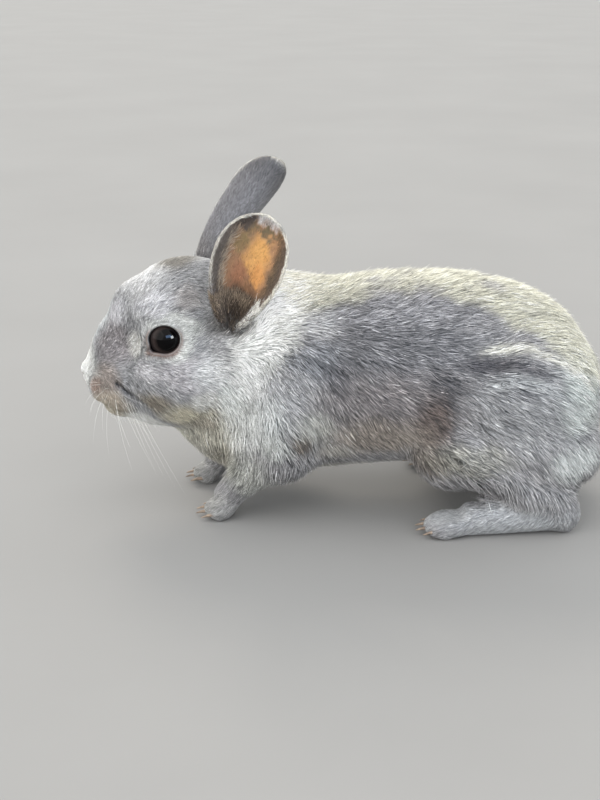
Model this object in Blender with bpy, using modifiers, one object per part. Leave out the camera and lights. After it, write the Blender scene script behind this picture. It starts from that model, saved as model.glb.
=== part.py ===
"""A young dwarf rabbit, life size, standing low on all four feet with its head held level with its back.

The flesh is blocked in with a lofted trunk, ellipsoids and tapered tubes, fused with a voxel
Remesh and softened, and then parted with thin cuts into head, neck, trunk, tail, legs and feet.
The ears are cupped sheets with Solidify, and the eyes are spheres in their own sockets.
All outlines are those of the coat's tips.

Frame: +X towards the nose, +Y towards the rabbit's left, +Z up, in metres.
The origin is the middle of the model's bounding box, on the floor under the feet.
"""

import math

import bmesh
import bpy
from mathutils import Matrix, Vector

MM = 0.001

# ---------------------------------------------------------------- driving sizes, in millimetres
GAP = 0.35  # between neighbouring nodes
VOXEL = 1.4  # of the remesh that fuses the flesh
FLESH_TRIANGLES = 2900
SOLE_Z = 0.0  # the floor

# The trunk and neck, in upright sections from the rump forward:
# name: x, top of the back, bottom of the belly, half width, height of the widest point
TRUNK = {
    "rump_end": (-115.0, 65.0, 36.0, 15.0, 51.0),
    "rump": (-108.5, 76.0, 31.0, 25.0, 54.0),
    "croup": (-98.0, 90.5, 27.5, 33.5, 57.0),
    "hips": (-82.0, 100.5, 26.0, 38.0, 60.0),
    "loin": (-62.0, 106.2, 24.0, 42.0, 61.0),
    "flank": (-40.0, 108.3, 23.5, 43.0, 62.0),
    "ribs": (-16.0, 107.8, 22.0, 41.5, 61.0),
    "withers": (6.0, 105.3, 19.0, 38.5, 59.0),
    "shoulder": (24.0, 108.5, 17.5, 34.0, 58.0),
    "chest": (40.0, 108.0, 16.0, 29.0, 57.0),
    "neck": (53.0, 105.0, 20.0, 24.0, 58.0),
    "throat": (66.0, 99.0, 26.0, 18.5, 60.0),
}

# Masses of flesh: centre, radii, pitch (the top goes forward), on the middle line and on each side
MIDDLE_MASSES = {
    "cranium": ((68.5, 0.0, 88.0), (29.5, 21.5, 26.5), 14.0),
    "nape": ((42.0, 0.0, 88.0), (22.0, 22.0, 22.0), 0.0),
    "forehead": ((84.8, 0.0, 86.0), (18.3, 15.5, 20.5), 16.0),
    "jaw": ((80.0, 0.0, 54.5), (25.0, 16.5, 18.5), 0.0),
    "snout": ((98.6, 0.0, 71.5), (13.8, 12.8, 22.2), -20.0),
    "nose": ((110.0, 0.0, 62.5), (7.3, 5.8, 8.0), 0.0),
    "chin": ((96.5, 0.0, 47.5), (11.5, 8.5, 8.3), 12.0),
    "brisket": ((44.0, 0.0, 46.0), (33.0, 24.0, 30.5), 0.0),
}
SIDE_MASSES = {
    "cheek": ((71.0, 13.5, 64.0), (22.0, 12.8, 24.0), -8.0),
    "brow": ((79.0, 13.5, 94.0), (13.0, 7.5, 8.0), 10.0),
    "muzzle": ((92.5, 8.0, 60.0), (14.0, 9.3, 17.5), -8.0),
    "whisker_pad": ((103.6, 5.8, 57.0), (9.8, 7.2, 9.3), 0.0),
    "shoulder_blade": ((15.0, 24.5, 62.0), (22.0, 14.0, 30.0), -12.0),
    "elbow_fluff": ((28.0, 22.5, 36.0), (22.0, 14.0, 18.5), 0.0),
    "haunch": ((-74.0, 22.5, 57.0), (38.0, 22.5, 37.0), -15.0),
    "thigh": ((-77.5, 28.5, 36.5), (37.0, 16.5, 23.5), -3.0),
    "heel": ((-95.5, 33.5, 8.5), (8.5, 8.0, 9.5), 0.0),
    "knee": ((-48.0, 31.0, 36.0), (20.0, 13.5, 19.0), 30.0),
}

# Limbs: named joints as centre and radius, from the body out, for the left side
FORELEG = [
    ("upper_arm", (24.0, 27.0, 50.0), 15.0),
    ("elbow", (24.0, 28.5, 33.0), 12.5),
    ("forearm", (38.0, 24.0, 25.0), 9.5),
    ("wrist", (48.5, 20.5, 13.5), 7.2),
    ("knuckles", (53.0, 20.0, 7.6), 6.8),
]
HIND_SHANK = [
    ("stifle", (-46.0, 33.0, 38.0), 14.0),
    ("shank", (-70.0, 35.0, 27.0), 12.0),
    ("hock", (-88.0, 34.0, 15.5), 10.0),
    ("heel", (-93.0, 33.5, 10.5), 8.4),
]
HIND_FOOT = [
    ("heel", (-95.0, 33.5, 8.6), 8.0),
    ("instep", (-75.0, 35.0, 8.2), 8.0),
    ("ball", (-52.0, 36.5, 7.0), 7.8),
]

TOE_SPREAD = 4.0  # between neighbouring toes
FORETOE = ((7.6, 3.0, 4.3), 4)  # radii and number
HINDTOE = ((10.0, 3.4, 4.7), 4)
FOREPAW_TIP = (56.0, 19.5, 4.1)  # middle of the toes
HINDPAW_TIP = (-43.0, 37.0, 4.5)
RIGHT_PAW_STEP = 8.0  # the right forepaw stands this far ahead of the left

TAIL = ((-117.0, 0.0, 53.0), (9.5, 10.0, 15.0), -20.0)

# Where a leg or the tail is parted from the body: ellipsoids and a block, for the left side
FORELEG_LOBES = [
    ((18.0, 42.0, 50.0), (21.0, 17.0, 32.0), -10.0),
    ((38.0, 30.0, 24.0), (27.0, 18.0, 14.0), 30.0),
]
FORELEG_BLOCK = ((22.0, 1.5, -8.0), (90.0, 60.0, 15.5), 4.0)
HINDLEG_LOBES = [((-73.0, 48.0, 52.0), (42.0, 30.0, 40.0), -15.0)]
HINDLEG_BLOCK = ((-126.0, 15.0, -8.0), (-22.0, 60.0, 25.0), 6.0)
TAIL_LOBES = [((-126.0, 0.0, 54.0), (14.5, 13.5, 21.0), -20.0)]

EYE_RADIUS = 7.7
EYE_CENTRE = (76.6, 15.8, 82.8)
EYE_AXIS = (0.22, 0.95, 0.10)  # where the left eye looks
EYE_OPENING = (6.9, 6.2)  # half the length and height of the lids' opening

CLAW_LENGTH, CLAW_RADIUS = 6.0, 1.0

# Ears: base, direction at the base and at the tip, the way the cup opens, length,
# half the width of the flat sheet, and half the angle it is rolled through at base, middle and tip
EAR_THICK = 3.0
EARS = {
    "ear_left": dict(
        base=(47.3, 16.0, 89.5),
        rise=(-0.22, 0.34, 0.91),
        tip=(-0.36, 0.10, 0.93),
        opens=(0.12, 1.0, 0.05),
        length=52.0,
        half_width=17.4,
        rolled=(150.0, 60.0, 38.0),
    ),
    "ear_right": dict(
        base=(61.5, -12.0, 104.0),
        rise=(-0.56, -0.26, 0.79),
        tip=(-0.62, -0.24, 0.76),
        opens=(0.45, -0.85, 0.10),
        length=59.5,
        half_width=15.6,
        rolled=(150.0, 110.0, 62.0),
    ),
}

FUR = (0.55, 0.54, 0.53)
PALE_FUR = (0.74, 0.71, 0.66)


# ---------------------------------------------------------------- helpers
def clear_scene():
    for obj in list(bpy.data.objects):
        bpy.data.objects.remove(obj, do_unlink=True)
    for block in (bpy.data.meshes, bpy.data.materials, bpy.data.curves):
        for item in list(block):
            block.remove(item)


def new_collection(name):
    made = bpy.data.collections.new(name)
    bpy.context.scene.collection.children.link(made)
    return made


def material(name, colour, roughness, metallic=0.0):
    mat = bpy.data.materials.new(name)
    mat.use_nodes = True
    shader = mat.node_tree.nodes["Principled BSDF"]
    shader.inputs["Base Color"].default_value = (*colour, 1.0)
    shader.inputs["Roughness"].default_value = roughness
    shader.inputs["Metallic"].default_value = metallic
    mat.diffuse_color = (*colour, 1.0)
    return mat


def put(obj, collection):
    for owner in list(obj.users_collection):
        owner.objects.unlink(obj)
    collection.objects.link(obj)
    return obj


def as_helper(obj):
    obj.hide_render = True
    obj.display_type = "WIRE"
    return obj


def ellipsoid(name, centre, radii, pitch=0.0, yaw=0.0, segments=32):
    """A sphere primitive with its three radii applied, turned nose down by pitch."""
    bpy.ops.mesh.primitive_uv_sphere_add(
        segments=segments, ring_count=segments // 2 + 2, radius=MM
    )
    obj = bpy.context.active_object
    obj.name = name
    turn = Matrix.Rotation(math.radians(yaw), 4, "Z") @ Matrix.Rotation(
        math.radians(pitch), 4, "Y"
    )
    obj.data.transform(turn @ Matrix.Diagonal((*radii, 1.0)))
    obj.location = Vector(centre) * MM
    return obj


def tube(name, joints, mirror=1.0, step=0.0):
    """A tapered round limb: a bevelled curve through its joints, made a closed mesh."""
    curve = bpy.data.curves.new(name, "CURVE")
    curve.dimensions = "3D"
    curve.bevel_depth = MM
    curve.bevel_resolution = 5
    curve.use_fill_caps = True
    curve.resolution_u = 6
    spline = curve.splines.new("NURBS")
    spline.points.add(len(joints) - 1)
    spline.use_endpoint_u = True
    spline.order_u = 3
    for i, (point, (_, centre, radius)) in enumerate(zip(spline.points, joints)):
        x = centre[0] + step * i / (len(joints) - 1)
        point.co = (x * MM, centre[1] * mirror * MM, centre[2] * MM, 1.0)
        point.radius = radius
    obj = bpy.data.objects.new(name, curve)
    bpy.context.scene.collection.objects.link(obj)
    return solid_copy(obj, remove=True)


def solid_copy(obj, name=None, remove=False):
    """A new mesh object from obj as evaluated, welded, with its place applied."""
    bpy.context.view_layer.update()
    graph = bpy.context.evaluated_depsgraph_get()
    mesh = bpy.data.meshes.new_from_object(obj.evaluated_get(graph), depsgraph=graph)
    mesh.transform(obj.matrix_world)
    work = bmesh.new()
    work.from_mesh(mesh)
    bmesh.ops.remove_doubles(work, verts=work.verts, dist=0.00001)
    bmesh.ops.recalc_face_normals(work, faces=work.faces)
    work.to_mesh(mesh)
    work.free()
    name = name or obj.name
    if remove:
        bpy.data.objects.remove(obj, do_unlink=True)
    made = bpy.data.objects.new(name, mesh)
    bpy.context.scene.collection.objects.link(made)
    return made


def join(name, objects):
    work = bmesh.new()
    for obj in objects:
        mesh = obj.data.copy()
        bpy.context.view_layer.update()
        mesh.transform(obj.matrix_world)
        work.from_mesh(mesh)
        bpy.data.objects.remove(obj, do_unlink=True)
    mesh = bpy.data.meshes.new(name)
    work.to_mesh(mesh)
    work.free()
    made = bpy.data.objects.new(name, mesh)
    bpy.context.scene.collection.objects.link(made)
    return made


def boolean(obj, other, operation):
    cut = obj.modifiers.new(operation.lower(), "BOOLEAN")
    cut.operation = operation
    cut.object = other
    cut.solver = "EXACT"
    return obj


def trunk_loft(name, sections, ring=36, per_span=4):
    """A loft through upright egg-shaped sections, whose sizes are interpolated with Catmull-Rom curves and closed with rounded ends."""
    rows = [tuple(s) for s in sections.values()]

    def at(i, t):
        a, b, c, d = (rows[min(max(i + k, 0), len(rows) - 1)] for k in (-1, 0, 1, 2))
        return [
            0.5
            * (
                2 * q
                + (r - p) * t
                + (2 * p - 5 * q + 4 * r - s) * t * t
                + (3 * q - p - 3 * r + s) * t**3
            )
            for p, q, r, s in zip(a, b, c, d)
        ]

    spans = [at(i, k / per_span) for i in range(len(rows) - 1) for k in range(per_span)]
    spans.append(list(rows[-1]))
    work = bmesh.new()
    rings = []
    for x, top, bottom, half, widest in spans:
        verts = []
        for k in range(ring):
            a = 2 * math.pi * k / ring
            s, c = math.sin(a), math.cos(a)
            height = (top - widest) if s > 0 else (widest - bottom)
            verts.append(
                work.verts.new(
                    (
                        x * MM,
                        half * math.copysign(abs(c) ** 0.92, c) * MM,
                        (widest + height * math.copysign(abs(s) ** 0.96, s)) * MM,
                    )
                )
            )
        rings.append(verts)
    for one, two in zip(rings, rings[1:]):
        for k in range(ring):
            n = (k + 1) % ring
            work.faces.new((one[k], one[n], two[n], two[k]))
    for verts, spot, out in ((rings[0], spans[0], -4.0), (rings[-1], spans[-1], 4.0)):
        tip = work.verts.new(((spot[0] + out) * MM, 0.0, spot[4] * MM))
        for k in range(ring):
            work.faces.new((verts[k], verts[(k + 1) % ring], tip))
    bmesh.ops.recalc_face_normals(work, faces=work.faces)
    mesh = bpy.data.meshes.new(name)
    work.to_mesh(mesh)
    work.free()
    made = bpy.data.objects.new(name, mesh)
    bpy.context.scene.collection.objects.link(made)
    return made


def toes(prefix, tip, toe, mirror=1.0, step=0.0):
    """A fan of toes, side by side, the middle ones reaching furthest."""
    radii, count = toe
    made = []
    for k in range(count):
        off = k - (count - 1) / 2
        centre = (
            tip[0] + step - 1.3 * off * off,
            (tip[1] + TOE_SPREAD * off) * mirror,
            tip[2],
        )
        made.append(
            ellipsoid(
                f"{prefix}_{k}", centre, radii, pitch=6.0, yaw=5.0 * off * mirror, segments=16
            )
        )
    return made


def claws(tip, toe, mirror=1.0, step=0.0):
    """Small cones that point forward and down from the toes' tips."""
    radii, count = toe
    made = []
    for k in range(count):
        off = k - (count - 1) / 2
        bpy.ops.mesh.primitive_cone_add(
            vertices=8,
            radius1=CLAW_RADIUS * MM,
            radius2=0.3 * MM,
            depth=CLAW_LENGTH * MM,
            end_fill_type="NGON",
        )
        obj = bpy.context.active_object
        obj.data.transform(
            Matrix.Rotation(math.radians(5.0 * off * mirror), 4, "Z")
            @ Matrix.Rotation(math.radians(98.0), 4, "Y")
        )
        obj.location = (
            Vector(
                (
                    tip[0] + step - 1.3 * off * off + radii[0] - 0.12 * CLAW_LENGTH,
                    (tip[1] + (TOE_SPREAD + 0.25) * off) * mirror,
                    tip[2] - 1.1,
                )
            )
            * MM
        )
        made.append(obj)
    return made


def ear(name, base, rise, tip, opens, length, half_width, rolled, rows=12, columns=7):
    """A cupped sheet: nearly a tube at its base, and opening into a wide, shallow spoon with a rounded tip."""
    rise, tip, opens = (Vector(v).normalized() for v in (rise, tip, opens))
    work = bmesh.new()
    grid = []
    centre = Vector(base)
    for i in range(rows + 1):
        before, s = (k / rows + 0.12 * math.sin(math.pi * k / rows) for k in (i - 1, i))
        along = rise.lerp(tip, s * s * (3 - 2 * s)).normalized()
        if i:
            centre = centre + along * (length * (s - before))
        face = (opens - along * opens.dot(along)).normalized()
        side = along.cross(face)
        belly = 0.50 + 0.50 * math.sin(min(s / 0.58, 1.0) * math.pi / 2)
        round_off = math.sqrt(max(0.0, 1 - (max(0.0, s - 0.58) / 0.425) ** 2.3))
        width = half_width * belly * round_off
        first, middle, last = rolled
        bend = middle + (
            (first - middle) * (1 - s / 0.6) ** 1.6 if s < 0.6 else (last - middle) * (s - 0.6) / 0.4
        )
        bend = math.radians(bend)
        radius = width / bend
        row = []
        for j in range(columns + 1):
            a = bend * (2 * j / columns - 1)
            spot = (
                centre
                + side * (radius * math.sin(a))
                + face * (radius * (1 - math.cos(a)))
            )
            row.append(work.verts.new(spot * MM))
        grid.append(row)
    for one, two in zip(grid, grid[1:]):
        for j in range(columns):
            work.faces.new((one[j], one[j + 1], two[j + 1], two[j]))
    mesh = bpy.data.meshes.new(name)
    work.to_mesh(mesh)
    work.free()
    obj = bpy.data.objects.new(name, mesh)
    bpy.context.scene.collection.objects.link(obj)
    shell = obj.modifiers.new("wall", "SOLIDIFY")
    shell.thickness = EAR_THICK * MM
    shell.offset = 0.0
    return obj


def eye_socket(name, spot, side):
    """Room for the eye's ball, and an oval passage from its middle out through the lids."""
    ball = ellipsoid(name + "_ball", spot, (EYE_RADIUS + GAP,) * 3, segments=14)
    bpy.ops.mesh.primitive_cylinder_add(
        vertices=20, radius=MM, depth=16.0 * MM, end_fill_type="NGON"
    )
    way = bpy.context.active_object
    axis = Vector((EYE_AXIS[0], EYE_AXIS[1] * side, EYE_AXIS[2])).normalized()
    up = (Vector((0, 0, 1)) - axis * axis.z).normalized()
    along = axis.cross(up) * -side
    frame = Matrix((along * EYE_OPENING[0], up * EYE_OPENING[1], axis)).transposed()
    if frame.determinant() < 0:
        frame = Matrix((-along * EYE_OPENING[0], up * EYE_OPENING[1], axis)).transposed()
    way.data.transform(frame.to_4x4())
    way.location = (Vector(spot) + axis * 8.0) * MM
    boolean(ball, way, "UNION")
    made = solid_copy(ball, name, remove=True)
    bpy.data.objects.remove(way, do_unlink=True)
    return made


def box(name, low, high, bevel=0.0):
    bpy.ops.mesh.primitive_cube_add(size=1.0)
    obj = bpy.context.active_object
    obj.name = name
    size = [h - l for l, h in zip(low, high)]
    obj.data.transform(Matrix.Diagonal((*[s * MM for s in size], 1.0)))
    obj.location = Vector([(l + h) / 2 for l, h in zip(low, high)]) * MM
    if bevel:
        edge = obj.modifiers.new("round", "BEVEL")
        edge.width = bevel * MM
        edge.segments = 2
    return obj


def slab(name, point, normal, depth):
    """A half space as a thick block, whose near face passes through point, square to normal, and which lies on the normal's side."""
    bpy.ops.mesh.primitive_cube_add(size=1.0)
    obj = bpy.context.active_object
    obj.name = name
    size = 400.0
    obj.data.transform(Matrix.Diagonal((size * MM, size * MM, depth * MM, 1.0)))
    turn = Vector((0, 0, 1)).rotation_difference(Vector(normal).normalized())
    obj.data.transform(turn.to_matrix().to_4x4())
    obj.location = (
        Vector(point) + Vector(normal).normalized() * (depth / 2)
    ) * MM
    return obj


def swollen(obj, name, by):
    """A copy of obj grown by a distance along its normals."""
    made = solid_copy(obj, name)
    for vertex, normal in zip(
        made.data.vertices, [v.normal.copy() for v in made.data.vertices]
    ):
        vertex.co += normal * by * MM
    return as_helper(made)


# ---------------------------------------------------------------- the flesh in one piece
def flesh():
    parts = [trunk_loft("trunk_loft", TRUNK)]
    for name, (centre, radii, pitch) in MIDDLE_MASSES.items():
        parts.append(ellipsoid(name, centre, radii, pitch))
    for name, (centre, radii, pitch) in SIDE_MASSES.items():
        for side in (1.0, -1.0):
            spot = (centre[0], centre[1] * side, centre[2])
            parts.append(ellipsoid(name, spot, radii, pitch))
    centre, radii, pitch = TAIL
    parts.append(ellipsoid("tail", centre, radii, pitch))
    for side, step in ((1.0, 0.0), (-1.0, RIGHT_PAW_STEP)):
        parts.append(tube("foreleg", FORELEG, side, step))
        parts.append(tube("shank", HIND_SHANK, side))
        parts.append(tube("hind_foot", HIND_FOOT, side))
        parts += toes("foretoe", FOREPAW_TIP, FORETOE, side, step)
        parts += toes("hindtoe", HINDPAW_TIP, HINDTOE, side)
    whole = join("flesh", parts)
    fuse = whole.modifiers.new("fuse", "REMESH")
    fuse.mode = "VOXEL"
    fuse.voxel_size = VOXEL * MM
    fused = solid_copy(whole, "flesh_fused", remove=True)

    # The body is softened most, the face less and the feet least.
    group = fused.vertex_groups.new(name="soft")
    for vertex in fused.data.vertices:
        x, y, z = (c / MM for c in vertex.co)
        face = min(1.0, max(0.0, (x - 60.0) / 30.0)) * (1.0 if z > 40.0 else 0.0)
        foot = min(1.0, max(0.0, (30.0 - z) / 14.0))
        group.add([vertex.index], 1.0 - max(0.55 * face, 0.88 * foot), "REPLACE")
    soften = fused.modifiers.new("soften", "SMOOTH")
    soften.factor = 0.6
    soften.iterations = 16
    soften.vertex_group = "soft"
    lighten = fused.modifiers.new("lighten", "DECIMATE")
    count = sum(len(p.vertices) - 2 for p in fused.data.polygons)
    lighten.ratio = FLESH_TRIANGLES / count
    whole = solid_copy(fused, "flesh_soft", remove=True)

    # Flat soles, all at the floor.
    floor = slab("floor_cut", (0, 0, SOLE_Z), (0, 0, -1), 30.0)
    boolean(whole, floor, "DIFFERENCE")
    made = solid_copy(whole, "flesh_whole", remove=True)
    bpy.data.objects.remove(floor, do_unlink=True)
    return made


def cut_out(whole, name, keep, remove):
    """whole, within every solid of keep and outside every solid of remove."""
    obj = solid_copy(whole, name)
    for other in keep:
        boolean(obj, other, "INTERSECT")
        after = solid_copy(obj, name + "_kept", remove=True)
        after.name = name
        obj = after
    for other in remove:
        boolean(obj, other, "DIFFERENCE")
        after = solid_copy(obj, name + "_left", remove=True)
        after.name = name
        obj = after
    return largest_body(obj)


def largest_body(obj):
    """Drops crumbs that a cut may leave beside the main body."""
    work = bmesh.new()
    work.from_mesh(obj.data)
    left = set(work.verts)
    bodies = []
    while left:
        todo = [left.pop()]
        body = set(todo)
        while todo:
            for edge in todo.pop().link_edges:
                for vertex in edge.verts:
                    if vertex in left:
                        left.discard(vertex)
                        body.add(vertex)
                        todo.append(vertex)
        bodies.append(body)
    main = max(bodies, key=len)
    bmesh.ops.delete(work, geom=[v for v in work.verts if v not in main])
    work.to_mesh(obj.data)
    work.free()
    return obj


def main():
    clear_scene()
    shown = new_collection("rabbit")
    guides = new_collection("cutters")
    whole = flesh()
    nodes = {}

    # Planes that part head from neck and neck from trunk, leaning forward down to the throat.
    lean = Vector((0.869, 0.0, 0.495))
    head_at, neck_at = Vector((43.0, 0.0, 90.0)), Vector((23.0, 0.0, 90.0))
    front = slab("head_side", head_at + lean * GAP / 2, lean, 160.0)
    behind_head = slab("neck_side", head_at - lean * GAP / 2, -lean, 400.0)
    before_trunk = slab("neck_front_of_trunk", neck_at + lean * GAP / 2, lean, 160.0)
    trunk_side = slab("trunk_side", neck_at - lean * GAP / 2, -lean, 400.0)

    def region(name, side, lobes, block, step=0.0):
        """A few ellipsoids joined with a rounded box, as they are and grown by the gap all round."""
        made = []
        for by in (0.0, GAP):
            solids = [
                ellipsoid(
                    f"{name}_lobe_{i}",
                    (centre[0] + step * i / 2, centre[1] * side, centre[2]),
                    [r + by for r in radii],
                    pitch,
                    segments=16,
                )
                for i, (centre, radii, pitch) in enumerate(lobes)
            ]
            if block:
                low, high, bevel = block
                ends = sorted((low[1] * side, high[1] * side))
                solids.append(
                    box(
                        f"{name}_block",
                        (low[0] - by, ends[0] - by, low[2] - by),
                        (high[0] + by, ends[1] + by, high[2] + by),
                        bevel,
                    )
                )
            obj = solids[0]
            for other in solids[1:]:
                boolean(obj, other, "UNION")
                both = solid_copy(obj, name, remove=True)
                bpy.data.objects.remove(other, do_unlink=True)
                obj = both
            obj.name = f"{name}_{len(made)}"
            made.append(as_helper(obj))
        return made

    legs = {}
    for side, word, step in ((1.0, "left", 0.0), (-1.0, "right", RIGHT_PAW_STEP)):
        legs[word] = (
            region(f"foreleg_{word}_region", side, FORELEG_LOBES, FORELEG_BLOCK, step),
            region(f"hindleg_{word}_region", side, HINDLEG_LOBES, HINDLEG_BLOCK),
        )
    tail_region = region("tail_region", 1.0, TAIL_LOBES, None)

    grown = [pair[1] for sides in legs.values() for pair in sides] + [tail_region[1]]
    nodes["trunk"] = cut_out(whole, "trunk", [trunk_side], grown)
    nodes["tail"] = cut_out(whole, "tail", [tail_region[0]], [])
    nodes["neck"] = cut_out(
        whole, "neck", [before_trunk, behind_head], [p[0][1] for p in legs.values()]
    )
    for word, ((fore, _), (hind, _)) in legs.items():
        side = 1.0 if word == "left" else -1.0
        step = 0.0 if word == "left" else RIGHT_PAW_STEP
        leg = cut_out(whole, f"foreleg_{word}", [fore], [])
        wrist = Vector((47.5 + step * 0.75, 20.5 * side, 14.0))
        down = Vector((0.63, -0.17 * side, -0.76)).normalized()
        paw_block = slab("paw", wrist + down * GAP / 2, down, 120.0)
        arm_block = slab("arm", wrist - down * GAP / 2, -down, 240.0)
        paw = cut_out(leg, f"forepaw_{word}", [paw_block], [])
        for claw in claws(FOREPAW_TIP, FORETOE, side, step):
            boolean(paw, claw, "UNION")
            after = solid_copy(paw, f"forepaw_{word}_clawed", remove=True)
            bpy.data.objects.remove(claw, do_unlink=True)
            after.name = f"forepaw_{word}"
            paw = after
        nodes[f"forepaw_{word}"] = paw
        nodes[f"foreleg_{word}"] = cut_out(leg, f"foreleg_{word}_arm", [arm_block], [])
        bpy.data.objects.remove(leg, do_unlink=True)

        leg = cut_out(whole, f"hindleg_{word}", [hind], [])
        hock = Vector((-88.0, 33.0 * side, 17.0))
        down = Vector((0.12, 0.0, -0.99)).normalized()
        foot_block = slab("foot", hock + down * GAP / 2, down, 120.0)
        thigh_block = slab("thigh", hock - down * GAP / 2, -down, 240.0)
        foot = cut_out(leg, f"hindfoot_{word}", [foot_block], [])
        for claw in claws(HINDPAW_TIP, HINDTOE, side):
            boolean(foot, claw, "UNION")
            after = solid_copy(foot, f"hindfoot_{word}_clawed", remove=True)
            bpy.data.objects.remove(claw, do_unlink=True)
            after.name = f"hindfoot_{word}"
            foot = after
        nodes[f"hindfoot_{word}"] = foot
        nodes[f"hindleg_{word}"] = cut_out(leg, f"hindleg_{word}_thigh", [thigh_block], [])
        bpy.data.objects.remove(leg, do_unlink=True)
        for block in (paw_block, arm_block, foot_block, thigh_block):
            put(as_helper(block), guides)

    # The head gives way to the eyes, and the ears end where they meet it.
    head = cut_out(whole, "head", [front], [])
    for word, side in (("left", 1.0), ("right", -1.0)):
        spot = (EYE_CENTRE[0], EYE_CENTRE[1] * side, EYE_CENTRE[2])
        nodes[f"eye_{word}"] = ellipsoid(f"eye_{word}", spot, (EYE_RADIUS,) * 3, segments=14)
        socket = eye_socket(f"socket_{word}", spot, side)
        boolean(head, socket, "DIFFERENCE")
        after = solid_copy(head, "head_socket", remove=True)
        after.name = "head"
        head = after
        put(as_helper(socket), guides)
    nodes["head"] = largest_body(head)
    round_head = swollen(whole, "flesh_grown", GAP)
    for name, sizes in EARS.items():
        sheet = solid_copy(ear(name + "_sheet", **sizes), name, remove=True)
        nodes[name] = cut_out(sheet, name, [], [round_head])
        bpy.data.objects.remove(sheet, do_unlink=True)

    # Origin: middle of the box, on the floor.
    bpy.context.view_layer.update()
    corners = [o.matrix_world @ v.co for o in nodes.values() for v in o.data.vertices]
    low = [min(c[i] for c in corners) for i in range(3)]
    high = [max(c[i] for c in corners) for i in range(3)]
    shift = Vector((-(low[0] + high[0]) / 2, -(low[1] + high[1]) / 2, -low[2]))
    print("shift mm", [round(c / MM, 3) for c in shift])

    for name, obj in nodes.items():
        obj.location += shift
        obj.name = name
        obj.data.name = name
        if name.startswith("eye"):
            obj.data.materials.append(material(name, (0.02, 0.014, 0.012), 0.08))
        elif name.startswith("tail"):
            obj.data.materials.append(material(name, PALE_FUR, 0.9))
        else:
            obj.data.materials.append(material(name, FUR, 0.9))
        obj.data.shade_smooth()
        put(obj, shown)
    for obj in list(bpy.data.objects):
        if obj.name not in nodes:
            put(as_helper(obj), guides)


main()
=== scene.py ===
"""Looks of a young dwarf rabbit: one skin over its whole body, ears and feet, a coat of solid tufts that
lie along it, two bright eyes, whiskers and claws, on a plain pale floor.

All shaping is done in millimetres in the part's own modelling frame (+X to the nose, +Y to its left,
+Z up, the floor at 0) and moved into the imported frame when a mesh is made.
"""

import math
import time

import bmesh
import bpy
import numpy as np
from mathutils import Matrix, Vector
from mathutils.bvhtree import BVHTree
from mathutils.kdtree import KDTree


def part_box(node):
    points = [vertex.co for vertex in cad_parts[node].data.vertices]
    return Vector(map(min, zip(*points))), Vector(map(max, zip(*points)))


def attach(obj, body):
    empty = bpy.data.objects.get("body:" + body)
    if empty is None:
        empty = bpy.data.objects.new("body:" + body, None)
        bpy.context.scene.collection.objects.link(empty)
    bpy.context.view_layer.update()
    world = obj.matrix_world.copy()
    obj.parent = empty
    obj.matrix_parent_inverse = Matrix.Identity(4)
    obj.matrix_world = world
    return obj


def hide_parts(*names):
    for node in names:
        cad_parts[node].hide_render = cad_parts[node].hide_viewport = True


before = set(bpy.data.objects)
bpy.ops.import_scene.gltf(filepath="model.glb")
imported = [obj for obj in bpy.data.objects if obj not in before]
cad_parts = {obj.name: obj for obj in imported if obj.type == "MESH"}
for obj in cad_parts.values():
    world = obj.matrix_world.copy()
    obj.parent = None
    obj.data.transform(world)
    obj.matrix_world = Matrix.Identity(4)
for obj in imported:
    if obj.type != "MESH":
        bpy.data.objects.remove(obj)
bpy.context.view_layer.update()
started = time.time()

MM = 0.001
SEED = 11
SKIN_VOXEL = 1.42

# ---------------------------------------------------------------- the same sizes as the part's
TRUNK = [  # x, top of the back, bottom of the belly, half width, height of the widest point
    (-115.0, 65.0, 36.0, 15.0, 51.0),
    (-108.5, 76.0, 31.0, 25.0, 54.0),
    (-98.0, 90.5, 27.5, 33.5, 57.0),
    (-82.0, 100.5, 26.0, 38.0, 60.0),
    (-62.0, 106.2, 24.0, 42.0, 61.0),
    (-40.0, 108.3, 23.5, 43.0, 62.0),
    (-16.0, 107.8, 22.0, 41.5, 61.0),
    (6.0, 105.3, 19.0, 38.5, 59.0),
    (24.0, 108.5, 17.5, 34.0, 58.0),
    (40.0, 108.0, 16.0, 29.0, 57.0),
    (53.0, 105.0, 20.0, 24.0, 58.0),
    (66.0, 99.0, 26.0, 18.5, 60.0),
]
MIDDLE_MASSES = {
    "cranium": ((68.5, 0.0, 88.0), (29.5, 21.5, 26.5), 14.0),
    "nape": ((42.0, 0.0, 88.0), (22.0, 22.0, 22.0), 0.0),
    "forehead": ((84.8, 0.0, 86.0), (18.3, 15.5, 20.5), 16.0),
    "jaw": ((80.0, 0.0, 54.5), (25.0, 16.5, 18.5), 0.0),
    "snout": ((98.6, 0.0, 71.5), (13.8, 12.8, 22.2), -20.0),
    "nose": ((110.0, 0.0, 62.5), (7.3, 5.8, 8.0), 0.0),
    "chin": ((96.5, 0.0, 47.5), (11.5, 8.5, 8.3), 12.0),
    "brisket": ((44.0, 0.0, 46.0), (33.0, 24.0, 30.5), 0.0),
}
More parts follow.
